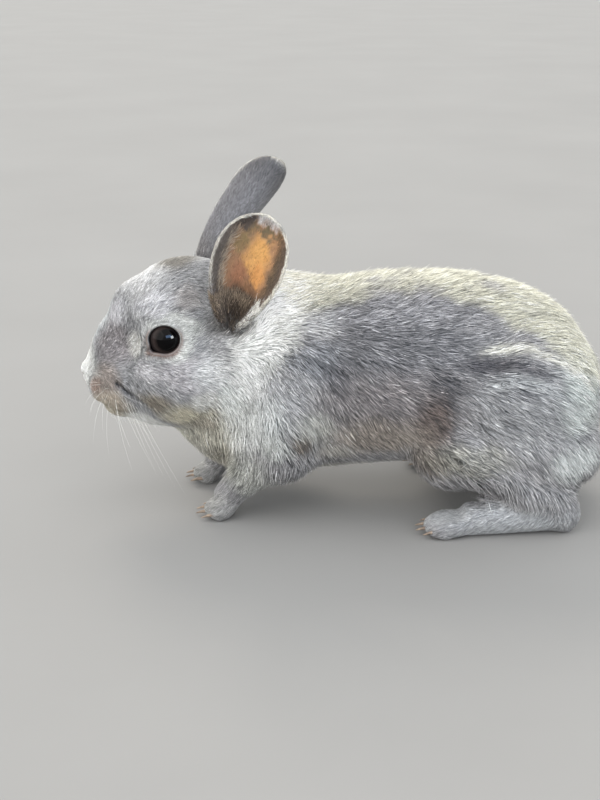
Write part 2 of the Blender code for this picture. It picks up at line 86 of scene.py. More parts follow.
SIDE_MASSES = {
    "cheek": ((71.0, 13.5, 64.0), (22.0, 12.8, 24.0), -8.0),
    "brow": ((79.0, 13.5, 94.0), (13.0, 7.5, 8.0), 10.0),
    "muzzle": ((92.5, 8.0, 60.0), (14.0, 9.3, 17.5), -8.0),
    "whisker_pad": ((103.6, 5.8, 57.0), (9.8, 7.2, 9.3), 0.0),
    "shoulder_blade": ((15.0, 24.5, 62.0), (22.0, 14.0, 30.0), -12.0),
    "elbow_fluff": ((28.0, 22.5, 36.0), (22.0, 14.0, 18.5), 0.0),
    "haunch": ((-74.0, 22.5, 57.0), (38.0, 22.5, 37.0), -15.0),
    "thigh": ((-77.5, 28.5, 36.5), (37.0, 16.5, 23.5), -3.0),
    "heel": ((-95.5, 33.5, 8.5), (8.5, 8.0, 9.5), 0.0),
    "knee": ((-48.0, 31.0, 36.0), (20.0, 13.5, 19.0), 30.0),
    "shoulder_round": ((23.0, 26.0, 53.0), (15.5, 14.2, 16.5), 0.0),
}
FORELEG = [
    ((24.0, 27.0, 50.0), 15.0),
    ((24.0, 28.5, 33.0), 12.5),
    ((38.0, 24.0, 25.0), 9.5),
    ((48.5, 20.5, 13.5), 7.2),
    ((53.0, 20.0, 7.6), 6.8),
]
HIND_SHANK = [
    ((-46.0, 33.0, 38.0), 14.0),
    ((-70.0, 35.0, 27.0), 12.0),
    ((-88.0, 34.0, 15.5), 10.0),
    ((-93.0, 33.5, 10.5), 8.4),
]
HIND_FOOT = [((-95.0, 33.5, 8.6), 8.0), ((-75.0, 35.0, 8.2), 8.0), ((-52.0, 36.5, 7.0), 7.8)]
TOE_SPREAD = 4.0
FORETOE = (7.6, 3.0, 4.3)
HINDTOE = (10.0, 3.4, 4.7)
FOREPAW_TIP = (56.0, 19.5, 4.1)
HINDPAW_TIP = (-43.0, 37.0, 4.5)
RIGHT_PAW_STEP = 8.0
CLAW_LENGTH = 6.0
TAIL = ((-117.0, 0.0, 53.0), (9.5, 10.0, 15.0), -20.0)
EYE_RADIUS = 7.7
EYE_CENTRE = (76.6, 15.8, 82.8)
LID_AXIS = (-0.06, 0.98, 0.10)  # the way the opening between the lids faces
GAZE = (-0.30, 0.94, 0.12)  # the way the pupil looks
EARS = {
    "ear_left": dict(
        base=(47.3, 16.0, 89.5),
        rise=(-0.22, 0.34, 0.91),
        tip=(-0.36, 0.10, 0.93),
        opens=(0.12, 1.0, 0.05),
        length=52.0,
        half_width=17.4,
        rolled=(150.0, 60.0, 38.0),
    ),
    "ear_right": dict(
        base=(61.5, -12.0, 104.0),
        rise=(-0.56, -0.26, 0.79),
        tip=(-0.62, -0.24, 0.76),
        opens=(0.45, -0.85, 0.10),
        length=59.5,
        half_width=15.6,
        rolled=(150.0, 110.0, 62.0),
    ),
}
FLESH = [
    "head",
    "neck",
    "trunk",
    "tail",
    "foreleg_left",
    "foreleg_right",
    "forepaw_left",
    "forepaw_right",
    "hindleg_left",
    "hindleg_right",
    "hindfoot_left",
    "hindfoot_right",
    "ear_left",
    "ear_right",
]

low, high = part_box("eye_left")
SHIFT = np.array((low + high) / 2) / MM - np.array(EYE_CENTRE)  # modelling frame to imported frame, mm


# ---------------------------------------------------------------- small tools
def said(what):
    print(f"[{time.time() - started:6.1f} s] {what}")


def step(a, b, x):
    """0 below a, 1 above b, smooth between."""
    t = np.clip((x - a) / (b - a), 0.0, 1.0)
    return t * t * (3 - 2 * t)


def unit(v):
    return v / np.maximum(np.linalg.norm(v, axis=-1, keepdims=True), 1e-9)


def linear(rgb):
    """sRGB 0-255 to linear 0-1."""
    c = np.asarray(rgb, float) / 255.0
    return np.where(c <= 0.04045, c / 12.92, ((c + 0.055) / 1.055) ** 2.4)


def to_frame(points):
    return (np.asarray(points, float) + SHIFT) * MM


def mesh_object(name, points, faces=None, bm=None):
    """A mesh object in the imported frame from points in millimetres."""
    mesh = bpy.data.meshes.new(name)
    if bm is not None:
        bm.to_mesh(mesh)
        bm.free()
        co = np.zeros(len(mesh.vertices) * 3, np.float32)
        mesh.vertices.foreach_get("co", co)
        mesh.vertices.foreach_set("co", to_frame(co.reshape(-1, 3)).astype(np.float32).ravel())
        mesh.update()
    else:
        faces = np.asarray(faces, np.int32)
        count, sides = faces.shape
        mesh.vertices.add(len(points))
        mesh.vertices.foreach_set("co", to_frame(points).astype(np.float32).ravel())
        mesh.loops.add(count * sides)
        mesh.loops.foreach_set("vertex_index", faces.ravel())
        mesh.polygons.add(count)
        mesh.polygons.foreach_set("loop_start", np.arange(0, count * sides, sides, dtype=np.int32))
        mesh.update(calc_edges=True)
    obj = bpy.data.objects.new(name, mesh)
    bpy.context.scene.collection.objects.link(obj)
    return obj


def points_of(mesh):
    co = np.zeros(len(mesh.vertices) * 3, np.float32)
    mesh.vertices.foreach_get("co", co)
    return co.reshape(-1, 3).astype(float) / MM - SHIFT


def set_points(mesh, points):
    mesh.vertices.foreach_set("co", to_frame(points).astype(np.float32).ravel())
    mesh.update()


def normals_of(mesh):
    out = np.zeros(len(mesh.vertices) * 3, np.float32)
    mesh.vertex_normals.foreach_get("vector", out)
    return out.reshape(-1, 3).astype(float)


def edges_of(mesh):
    out = np.zeros(len(mesh.edges) * 2, np.int32)
    mesh.edges.foreach_get("vertices", out)
    return out.reshape(-1, 2)


def soften(points, edges, weight, rounds, factor=0.3):
    """Laplacian smoothing, weighted point by point."""
    a, b = edges.T
    n = len(points)
    degree = np.maximum(np.bincount(a, minlength=n) + np.bincount(b, minlength=n), 1)
    points = points.copy()
    w = (factor * weight)[:, None]
    for _ in range(rounds):
        total = np.stack(
            [
                np.bincount(a, points[b, k], n) + np.bincount(b, points[a, k], n)
                for k in range(3)
            ],
            axis=1,
        )
        points += w * (total / degree[:, None] - points)
    return points


def evaluated(obj, remove=True):
    """The object's mesh with its modifiers applied, as a new object."""
    bpy.context.view_layer.update()
    graph = bpy.context.evaluated_depsgraph_get()
    mesh = bpy.data.meshes.new_from_object(obj.evaluated_get(graph), depsgraph=graph)
    mesh.transform(obj.matrix_world)
    made = bpy.data.objects.new(obj.name + "_done", mesh)
    bpy.context.scene.collection.objects.link(made)
    if remove:
        bpy.data.objects.remove(obj, do_unlink=True)
    return made


def remeshed(obj, voxel):
    fuse = obj.modifiers.new("fuse", "REMESH")
    fuse.mode = "VOXEL"
    fuse.voxel_size = voxel * MM
    fuse.adaptivity = 0.0
    return evaluated(obj)


def polyline_distance(p, line):
    """Distance of points to a polyline, and how far along it they lie, 0 to 1 for each span."""
    best = np.full(len(p), 1e9)
    along = np.zeros(len(p))
    for i, (a, b) in enumerate(zip(line, line[1:])):
        a, b = np.array(a, float), np.array(b, float)
        t = np.clip((p - a) @ (b - a) / ((b - a) @ (b - a)), 0, 1)
        d = np.linalg.norm(p - (a + t[:, None] * (b - a)), axis=1)
        nearer = d < best
        best = np.where(nearer, d, best)
        along = np.where(nearer, i + t, along)
    return best, along


def lattice_noise(p, scale, seed):
    """Smooth value noise in -1..1 at points p (mm), with features about scale mm across."""
    grid = np.random.default_rng(seed).uniform(-1, 1, (32, 32, 32))
    q = p / scale + 100.0
    i = np.floor(q).astype(int)
    f = q - i
    f = f * f * (3 - 2 * f)
    total = 0.0
    for dx in (0, 1):
        for dy in (0, 1):
            for dz in (0, 1):
                w = (
                    (f[:, 0] if dx else 1 - f[:, 0])
                    * (f[:, 1] if dy else 1 - f[:, 1])
                    * (f[:, 2] if dz else 1 - f[:, 2])
                )
                total = total + w * grid[(i[:, 0] + dx) % 32, (i[:, 1] + dy) % 32, (i[:, 2] + dz) % 32]
    return total


# ---------------------------------------------------------------- the regions of the body
def folded(p):
    """Both sides as the left one: y made positive, and the right forepaw's longer step taken out."""
    q = np.array(p, float)
    right = q[:, 1] < 0
    fore = step(14, 24, q[:, 0]) * (1 - step(8, 46, q[:, 2]))
    q[:, 0] -= np.where(right, RIGHT_PAW_STEP * fore, 0.0)
    q[:, 1] = np.abs(q[:, 1])
    return q


def headness(p):
    return step(-14, 8, (p[:, 0] - 43.0) * 0.869 + (p[:, 2] - 90.0) * 0.495)


def round_the_eye(q):
    """For folded points: 1 at the rim of the eye's opening and more beyond it, the angle round it (0 ahead,
    upwards from there), how far the point lies out from the ball's middle, and the way straight out from it."""
    axis = unit(np.array(LID_AXIS))
    up = unit(np.array((0, 0, 1.0)) - axis * axis[2])
    ahead = np.cross(axis, up)
    d = q - np.array(EYE_CENTRE)
    t, u, w = d @ axis, d @ ahead, d @ up
    angle = np.arctan2(w, u)
    # an oval drawn out into the tear corner, in front and below
    reach = 1.0 / np.sqrt((np.cos(angle) / 6.35) ** 2 + (np.sin(angle) / 5.85) ** 2)
    reach = reach * (1 + 0.22 * np.exp(-(((angle + 0.76) / 0.26) ** 2)))
    r = np.hypot(u, w)
    outward = (ahead[None] * u[:, None] + up[None] * w[:, None]) / np.maximum(r, 1e-6)[:, None]
    return r / reach, angle, t, outward


# What the coat is like in each region: depth, length of a tuft, its half thickness, tufts per square mm,
# how strongly tufts gather into locks, and how ragged their tips stand
COAT = {
    "body": (5.2, 6.7, 0.155, 2.60, 0.18, 0.80),
    "spine": (5.2, 6.5, 0.155, 2.65, 0.18, 0.90),
    "belly": (4.8, 10.5, 0.230, 1.20, 0.36, 0.6),
    "chest": (5.3, 8.6, 0.170, 2.30, 0.26, 0.95),
    "tail": (4.3, 9.0, 0.200, 2.20, 0.35, 1.0),
    "head": (2.3, 3.9, 0.120, 4.6, 0.18, 0.6),
    "cheek": (3.0, 4.9, 0.130, 4.1, 0.22, 0.65),
    "muzzle": (1.3, 2.9, 0.100, 7.2, 0.22, 0.6),
    "nose": (0.55, 1.6, 0.085, 9.0, 0.10, 0.6),
    "eye": (1.2, 2.4, 0.090, 7.5, 0.22, 0.35),
    "leg": (2.3, 5.2, 0.150, 3.4, 0.33, 0.6),
    "foot": (1.25, 3.6, 0.120, 4.4, 0.28, 0.5),
    "sole": (1.0, 2.6, 0.150, 2.6, 0.30, 0.4),
}
FOREARM_LINE = [(24.0, 28.5, 31.0), (38.0, 24.0, 25.0), (48.5, 20.5, 13.5), (60.0, 20.0, 4.5)]
FOREPAW_LINE = [(46.5, 20.8, 16.0), (52.0, 20.0, 8.0), (62.0, 20.0, 4.0)]
SHANK_LINE = [(-80.0, 35.0, 18.0), (-94.0, 33.5, 11.0)]
HINDFOOT_LINE = [(-97.0, 33.5, 8.0), (-75.0, 35.0, 7.5), (-52.0, 36.5, 6.5), (-36.0, 37.5, 4.0)]


def coat_at(p):
    """The coat's numbers at each point, mixed from the regions' own."""
    q = folded(p)
    x, y, z = q.T
    made = np.tile(np.array(COAT["body"]), (len(p), 1))

    def mix(region, weight):
        made[:] += weight[:, None] * (np.array(COAT[region]) - made)

    mix("spine", step(92, 101, z))
    mix("belly", 1 - step(26, 34, z))
    mix("chest", step(26, 42, x) * (1 - step(64, 78, z)))
    tail = np.linalg.norm((q - np.array(TAIL[0])) / np.array((12.0, 13.0, 18.0)), axis=1)
    mix("tail", 1 - step(0.85, 1.15, tail))
    d, _ = polyline_distance(q, FOREARM_LINE)
    mix("leg", (1 - step(8.5, 14, d)) * (1 - step(22, 34, z)))
    d, _ = polyline_distance(q, FOREPAW_LINE)
    mix("foot", 1 - step(7.5, 10.5, d))
    d, _ = polyline_distance(q, SHANK_LINE)
    mix("leg", (1 - step(9, 14, d)) * (1 - step(17, 25, z)))
    d, _ = polyline_distance(q, HINDFOOT_LINE)
    mix("foot", (1 - step(8.5, 11.5, d)) * (1 - step(13, 18, z)))
    mix("sole", 1 - step(0.8, 3.0, z))
    head = headness(p)
    mix("head", head)
    mix("cheek", head * (1 - step(92, 100, x)) * (1 - step(58, 74, z)))
    away = np.linalg.norm((q - np.array((104.0, 6.0, 60.0))) / np.array((14.0, 14.0, 17.0)), axis=1)
    mix("muzzle", head * (1 - step(0.75, 1.35, away)))
    mix("nose", 1 - step(4.5, 8.0, np.linalg.norm(q - np.array((116.0, 0.0, 61.0)), axis=1)))
    rho, _, along, _ = round_the_eye(q)
    mix("eye", (1 - step(1.25, 1.95, rho)) * (along > 0))
    return made


# ---------------------------------------------------------------- flesh, as the part builds it
def add_ellipsoid(bm, centre, radii, pitch=0.0, yaw=0.0, segments=32):
    turn = Matrix.Rotation(math.radians(yaw), 4, "Z") @ Matrix.Rotation(math.radians(pitch), 4, "Y")
    place = Matrix.Translation(centre) @ turn @ Matrix.Diagonal((*radii, 1.0))
    bmesh.ops.create_uvsphere(
        bm, u_segments=segments, v_segments=segments // 2 + 2, radius=1.0, matrix=place
    )


def add_trunk(bm, rows, ring=48, per_span=5):
    """A loft through upright egg-shaped sections, whose sizes follow Catmull-Rom curves."""

    def at(i, t):
        a, b, c, d = (rows[min(max(i + k, 0), len(rows) - 1)] for k in (-1, 0, 1, 2))
        return [
            0.5
            * (
                2 * q
                + (r - p) * t
                + (2 * p - 5 * q + 4 * r - s) * t * t
                + (3 * q - p - 3 * r + s) * t**3
            )
            for p, q, r, s in zip(a, b, c, d)
        ]

    spans = [at(i, k / per_span) for i in range(len(rows) - 1) for k in range(per_span)]
    spans.append(list(rows[-1]))
    rings = []
    for x, top, bottom, half, widest in spans:
        verts = []
        for k in range(ring):
            a = 2 * math.pi * k / ring
            s, c = math.sin(a), math.cos(a)
            height = (top - widest) if s > 0 else (widest - bottom)
            verts.append(
                bm.verts.new(
                    (
                        x,
                        half * math.copysign(abs(c) ** 0.92, c),
                        widest + height * math.copysign(abs(s) ** 0.96, s),
                    )
                )
            )
        rings.append(verts)
    for one, two in zip(rings, rings[1:]):
        for k in range(ring):
            n = (k + 1) % ring
            bm.faces.new((one[k], one[n], two[n], two[k]))
    for verts, spot, out in ((rings[0], spans[0], -4.0), (rings[-1], spans[-1], 4.0)):
        tip = bm.verts.new((spot[0] + out, 0.0, spot[4]))
        for k in range(ring):
            bm.faces.new((verts[k], verts[(k + 1) % ring], tip))


def add_limb(bm, joints, side=1.0, ahead=0.0, per_span=10, around=24):
    """A tapered round limb along a quadratic B-spline through its joints' frame, with round ends."""
    points = [
        Vector((c[0] + ahead * i / (len(joints) - 1), c[1] * side, c[2])) for i, (c, _) in enumerate(joints)
    ]
    radii = [r for _, r in joints]
    path, sizes = [points[0]], [radii[0]]
    for i in range(1, len(points) - 1):
        a = points[0] if i == 1 else (points[i - 1] + points[i]) / 2
        c = points[-1] if i == len(points) - 2 else (points[i] + points[i + 1]) / 2
        ra = radii[0] if i == 1 else (radii[i - 1] + radii[i]) / 2
        rc = radii[-1] if i == len(points) - 2 else (radii[i] + radii[i + 1]) / 2
        for k in range(1, per_span + 1):
            t = k / per_span
            path.append(a * (1 - t) ** 2 + points[i] * 2 * t * (1 - t) + c * t * t)
            sizes.append(ra * (1 - t) ** 2 + radii[i] * 2 * t * (1 - t) + rc * t * t)
    rings = []
    for i, (spot, size) in enumerate(zip(path, sizes)):
        way = (path[min(i + 1, len(path) - 1)] - path[max(i - 1, 0)]).normalized()
        one = way.cross(Vector((0, 1, 0))).normalized()
        two = way.cross(one)
        rings.append(
            [
                bm.verts.new(spot + (one * math.cos(a) + two * math.sin(a)) * size)
                for a in (2 * math.pi * k / around for k in range(around))
            ]
        )
    for one, two in zip(rings, rings[1:]):
        for k in range(around):
            n = (k + 1) % around
            bm.faces.new((one[k], one[n], two[n], two[k]))
    bm.faces.new(rings[0])
    bm.faces.new(rings[-1])


def build_flesh():
    bm = bmesh.new()
    add_trunk(bm, TRUNK)
    for centre, radii, pitch in MIDDLE_MASSES.values():
        add_ellipsoid(bm, centre, radii, pitch)
    for centre, radii, pitch in SIDE_MASSES.values():
        for side in (1.0, -1.0):
            add_ellipsoid(bm, (centre[0], centre[1] * side, centre[2]), radii, pitch)
    add_ellipsoid(bm, *TAIL)
    for side, ahead in ((1.0, 0.0), (-1.0, RIGHT_PAW_STEP)):
        add_limb(bm, FORELEG, side, ahead)
        add_limb(bm, HIND_SHANK, side)
        add_limb(bm, HIND_FOOT, side)
        for tip, radii, more in ((FOREPAW_TIP, FORETOE, ahead), (HINDPAW_TIP, HINDTOE, 0.0)):
            for k in range(4):
                off = k - 1.5
                centre = (tip[0] + more - 1.3 * off * off, (tip[1] + TOE_SPREAD * off) * side, tip[2])
                add_ellipsoid(bm, centre, radii, 6.0, 5.0 * off * side, segments=20)
    bmesh.ops.recalc_face_normals(bm, faces=bm.faces)
    obj = remeshed(mesh_object("flesh", None, bm=bm), 1.3)
    said("flesh fused")
    p = points_of(obj.data)
    face = np.clip((p[:, 0] - 60.0) / 30.0, 0, 1) * (p[:, 2] > 40.0)
    foot = np.clip((30.0 - p[:, 2]) / 14.0, 0, 1)
    p = soften(p, edges_of(obj.data), 1.0 - np.maximum(0.55 * face, 0.88 * foot), 20)
    set_points(obj.data, p)
    return obj


# ---------------------------------------------------------------- ears
def ear_sheet(base, rise, tip, opens, length, half_width, rolled, rows=46, columns=28):
    """The middle surface of a cupped ear as a grid of points, with its normals towards the cup's opening."""
    rise, tip, opens = (np.array(v, float) / np.linalg.norm(v) for v in (rise, tip, opens))
    k = 12 * (1 - (1 - np.linspace(0, 1, rows + 1)) ** 1.25)
    s = k / 12 + 0.12 * np.sin(np.pi * k / 12)
    half_step = (1 / 12 + 0.12 * np.pi / 12 * np.cos(np.pi * k / 12)) / 2
    lead = np.minimum(s + half_step, 1.0)
    along = unit(rise + (tip - rise) * (lead * lead * (3 - 2 * lead))[:, None])
    centre = np.array(base, float) + np.concatenate(
        [[(0, 0, 0)], np.cumsum((along[1:] + along[:-1]) / 2 * np.diff(s)[:, None] * length, axis=0)]
    )
    along = unit(rise + (tip - rise) * (s * s * (3 - 2 * s))[:, None])
    face = unit(opens - along * (along @ opens)[:, None])
    side = np.cross(along, face)
    belly = 0.50 + 0.50 * np.sin(np.minimum(s / 0.58, 1.0) * np.pi / 2)
    round_off = np.sqrt(np.maximum(0.0, 1 - (np.maximum(0, s - 0.58) / 0.4205) ** 2.3))
    width = half_width * belly * round_off
    first, middle, last = rolled
    bend = middle + np.where(
        s < 0.6, (first - middle) * np.maximum(1 - s / 0.6, 0) ** 1.6, (last - middle) * (s - 0.6) / 0.4
    )
    bend = np.radians(bend)
    radius = width / bend
    j = np.linspace(-1, 1, columns + 1)
    a = bend[:, None] * j[None, :]
    spots = (
        centre[:, None, :]
        + side[:, None, :] * (radius[:, None] * np.sin(a))[:, :, None]
        + face[:, None, :] * (radius[:, None] * (1 - np.cos(a)))[:, :, None]
    )
    out = -side[:, None, :] * np.sin(a)[:, :, None] + face[:, None, :] * np.cos(a)[:, :, None]
    return spots, unit(out), s, j, width, along


def ear_solid(name, sizes, thick=0.55):
    """A closed thin sheet, thinnest at its rim, with a slightly rolled edge."""
    spots, out, s, j, _, _ = ear_sheet(**sizes)
    rows, columns = spots.shape[:2]
    rim = np.minimum(1 - step(0.80, 1.0, np.abs(j))[None, :], (1 - step(0.93, 1.0, s))[:, None])
    half = thick * (0.42 + 0.58 * rim)
    front = spots + out * half[:, :, None]
    back = spots - out * half[:, :, None]
    points = np.concatenate([front.reshape(-1, 3), back.reshape(-1, 3)])
    index = np.arange(rows * columns).reshape(rows, columns)
    far = index + rows * columns
    faces = []
    for i in range(rows - 1):
        for c in range(columns - 1):
            faces.append((index[i, c], index[i, c + 1], index[i + 1, c + 1], index[i + 1, c]))
            faces.append((far[i, c], far[i + 1, c], far[i + 1, c + 1], far[i, c + 1]))
    for i in range(rows - 1):
        faces.append((index[i, 0], index[i + 1, 0], far[i + 1, 0], far[i, 0]))
        faces.append((index[i, -1], far[i, -1], far[i + 1, -1], index[i + 1, -1]))
    for c in range(columns - 1):
        faces.append((index[0, c], far[0, c], far[0, c + 1], index[0, c + 1]))
        faces.append((index[-1, c], index[-1, c + 1], far[-1, c + 1], far[-1, c]))
    obj = mesh_object(name, points, np.array(faces))
    bm = bmesh.new()
    bm.from_mesh(obj.data)
    bmesh.ops.remove_doubles(bm, verts=bm.verts, dist=0.00002)
    bmesh.ops.recalc_face_normals(bm, faces=bm.faces)
    bm.to_mesh(obj.data)
    bm.free()
    return obj


class EarChart:
    """Finds where on an ear a point lies: how far up, how far across, and on which face."""

    def __init__(self):
        self.rows = []
        count = sum(ear_sheet(**e)[0].shape[0] * ear_sheet(**e)[0].shape[1] for e in EARS.values())
        self.tree = KDTree(count)
        n = 0
        for number, sizes in enumerate(EARS.values()):
            spots, out, s, j, width, along = ear_sheet(**sizes)
            for i in range(spots.shape[0]):
                for c in range(spots.shape[1]):
                    self.tree.insert(spots[i, c], n)
                    self.rows.append((number, s[i], j[c], *spots[i, c], *out[i, c], *along[i]))
                    n += 1
        self.tree.balance()
        self.rows = np.array(self.rows)

    def at(self, p):
        """For each point: distance to an ear's middle surface, which ear, s, j, side (+ inside the cup), along."""
        found = np.array([self.tree.find(q)[1] for q in p], int)
        row = self.rows[found]
        d = p - row[:, 3:6]
        side = np.einsum("ij,ij->i", d, row[:, 6:9])
        return np.linalg.norm(d, axis=1), row[:, 0].astype(int), row[:, 1], row[:, 2], side, row[:, 9:12], row[:, 6:9]


# ---------------------------------------------------------------- the skin
def refined(obj, where):
    """Splits every face whose middle satisfies where() into four."""
    bm = bmesh.new()
    bm.from_mesh(obj.data)
    bm.faces.ensure_lookup_table()
    middles = np.array([f.calc_center_median() for f in bm.faces]) / MM - SHIFT
    chosen = where(middles)
    edges = set()
    for face, take in zip(bm.faces, chosen):
        if take:
            edges.update(face.edges)
    bmesh.ops.subdivide_edges(bm, edges=list(edges), cuts=1, use_grid_fill=True)
    bm.to_mesh(obj.data)
    bm.free()
    return obj


def shaped_lids(p):
    """Pushes the skin into the eye's opening and raises two thin lids round it, on both sides."""
    p = p.copy()
    for side in (1.0, -1.0):
        flip = np.array((1, side, 1))
        rho, angle, t, _ = round_the_eye(p * flip)
        axis = unit(np.array(LID_AXIS)) * flip
        r = np.linalg.norm(np.cross(p - np.array(EYE_CENTRE) * flip, axis), axis=1)
        rim = r / np.maximum(rho, 1e-6)
        edge = np.sqrt(np.maximum(EYE_RADIUS**2 - np.minimum(rim, 7.2) ** 2, 0.0))
        inside = np.sqrt(np.maximum((EYE_RADIUS - 1.1) ** 2 - r**2, 0.0)) - 0.2
        upper = step(-0.2, 0.8, np.sin(angle))
        crest = edge + 0.62 + 0.42 * upper
        target = np.where(
            rho < 0.94,
            inside,
            np.where(
                rho < 1.01,
                inside + (edge + 0.25 - inside) * step(0.94, 1.01, rho),
                (edge + 0.25) + (crest - edge - 0.25) * step(1.01, 1.12, rho),
            ),
        )
        # beyond the crest the lid falls back a little, then meets the head
        fall = 1 - step(1.12, 1.85, rho)
        groove = 0.5 * np.exp(-(((rho - 1.42) / 0.12) ** 2)) * (0.35 + 0.65 * upper) * (1 - 0.85 * step(0.2, 0.8, np.cos(angle)))
        near = (t > -1.0) & (rho < 1.85)
        new_t = np.where(rho < 1.12, target, t + (crest - t) * fall)
        new_t = new_t - groove * (rho > 1.12) * (rho < 1.85)
        p = np.where(near[:, None], p + axis * (new_t - t)[:, None], p)
    return p


# Lines of the face: name, path on the left side, half width, depth, colour
FACE_LINES = [
    ("nostril", [(117.0, 0.8, 58.8), (116.6, 1.9, 60.0), (115.9, 3.0, 61.2)], 0.60, 1.4, (76, 52, 50)),
    ("cleft under the nose", [(117.0, 0.0, 60.2), (115.8, 0.0, 56.5), (112.5, 0.0, 52.0)], 0.60, 1.1, (116, 86, 80)),
    ("mouth", [(112.5, 0.0, 51.5), (110.0, 5.0, 49.5), (104.0, 10.0, 48.0), (97.0, 12.0, 46.5)], 0.80, 1.2, (84, 70, 64)),
    # the fold is carved; its near-black colour is painted shadow in the crease between the whisker pad and the cheek
    ("fold behind the pad", [(98.8, 15.2, 61.8), (96.6, 16.0, 59.4), (93.4, 17.0, 56.9), (90.0, 18.2, 54.5), (86.5, 19.4, 52.4)], 0.78, 1.5, (34, 31, 31)),
]
LAID_LINES = {}  # the same lines laid on the skin, halfway up the coat and on top of it


def grooves(p, n):
    """Nostrils, the cleft under the nose, the mouth and the fold behind each whisker pad."""
    moved = p.copy()
    left = np.flatnonzero((p[:, 1] > -0.4) & (p[:, 0] > 78) & (p[:, 2] < 76))
    for name, path, width, depth, _ in FACE_LINES:
        path = np.array(path)
        line = np.concatenate([a + (b - a) * t for a, b in zip(path, path[1:]) for t in (0, 0.25, 0.5, 0.75)] + [path[-1]]).reshape(-1, 3)
        index = [left[np.argmin(np.linalg.norm(p[left] - spot, axis=1))] for spot in line]
        on, out = p[index].copy(), n[index]
        if name.startswith("cleft"):
            on[:, 1] = 0.0
        hair = coat_at(on)[:, :1]
        LAID_LINES[name] = [on, on + 0.45 * hair * out, on + 0.9 * hair * out]
        q = p if name.startswith("cleft") else folded(p)
        d, _ = polyline_distance(q, on)
        moved -= n * (depth * np.exp(-((d / width) ** 2)))[:, None]
    return moved


def off_the_lines(p, spread, share, only=""):
    """1 away from the lines of the face, less on them."""
    kept = np.ones(len(p))
    near = (p[:, 0] > 75) & (p[:, 2] < 80)
    q = folded(p[near])
    for name, _, width, _, _ in FACE_LINES:
        if only in name:
            d, _ = polyline_distance(q, LAID_LINES[name][0])
            kept[near] *= 1 - share * np.exp(-((d / (width * spread)) ** 2))
    return kept


def build_skin(chart):
    flesh = build_flesh()
    said(f"flesh, {len(flesh.data.vertices)} points")
    edges = edges_of(flesh.data)
    p = points_of(flesh.data)
    depth = coat_at(p)[:, 0]
    everywhere = np.ones(len(p))
    for _ in range(4):
        p = p - normals_of(flesh.data) * (depth / 4)[:, None]
        p = soften(p, edges, everywhere, 1, 0.15)
        set_points(flesh.data, p)
    skin = remeshed(flesh, SKIN_VOXEL)
    p = points_of(skin.data)
    foot = 1 - step(8, 20, p[:, 2])
    p = soften(p, edges_of(skin.data), 1.0 - 0.7 * foot, 6)
    set_points(skin.data, p)
    said(f"skin under the coat, {len(p)} points")
    for name, sizes in EARS.items():
        other = ear_solid(name + "_sheet", sizes)
        before = len(skin.data.vertices)
        cut = skin.modifiers.new("join", "BOOLEAN")
        cut.operation = "UNION"
        cut.object = other
        cut.solver = "MANIFOLD"
        joined = evaluated(skin, remove=False)
        if len(joined.data.vertices) < before:
            print(f"{name}: the union failed, joining instead")
            bpy.data.objects.remove(joined, do_unlink=True)
            skin.modifiers.clear()
            bm = bmesh.new()
            bm.from_mesh(skin.data)
            bm.from_mesh(other.data)
            bm.to_mesh(skin.data)
            bm.free()
        else:
            bpy.data.objects.remove(skin, do_unlink=True)
            skin = joined
        bpy.data.objects.remove(other, do_unlink=True)
    said(f"ears joined, {len(skin.data.vertices)} points")

    def on_head(m):
        return ((m[:, 0] - 43.0) * 0.869 + (m[:, 2] - 90.0) * 0.495 > 3) & (chart_far(m) > 1.5)

    def chart_far(m):
        near = (m[:, 2] > 84) & (m[:, 0] < 75)
        d = np.full(len(m), 99.0)
        if near.any():
            d[near] = chart.at(m[near])[0]
        return d

    def fine(m):
        q = folded(m)
        rho, _, along, _ = round_the_eye(q)
        return ((rho < 2.0) & (along > 0)) | (
            np.linalg.norm((q - np.array((108.0, 4.0, 57.0))) / np.array((11.0, 13.0, 13.0)), axis=1) < 1
        )

    refined(skin, on_head)
    refined(skin, fine)
    said(f"head refined, {len(skin.data.vertices)} points")
    p = points_of(skin.data)
    edges = edges_of(skin.data)
    d = chart_far(p)
    off_ear = step(1.2, 4.0, d) * headness(p)
    p = soften(p, edges, off_ear, 8)
    p = shaped_lids(p)
    rho, _, along, _ = round_the_eye(folded(p))
    ring = np.exp(-(((rho - 1.25) / 0.3) ** 2)) * (along > 0)
    p = soften(p, edges, 0.5 * ring * (rho > 1.04), 3)
    set_points(skin.data, p)
    p = grooves(p, normals_of(skin.data))
    p[:, 2] = np.maximum(p[:, 2], 0.25)
    set_points(skin.data, p)
    bm = bmesh.new()
    bm.from_mesh(skin.data)
    bmesh.ops.triangulate(bm, faces=bm.faces)
    bm.to_mesh(skin.data)
    bm.free()
    skin.data.shade_smooth()
    said(f"skin shaped, {len(skin.data.polygons)} triangles")
    return skin


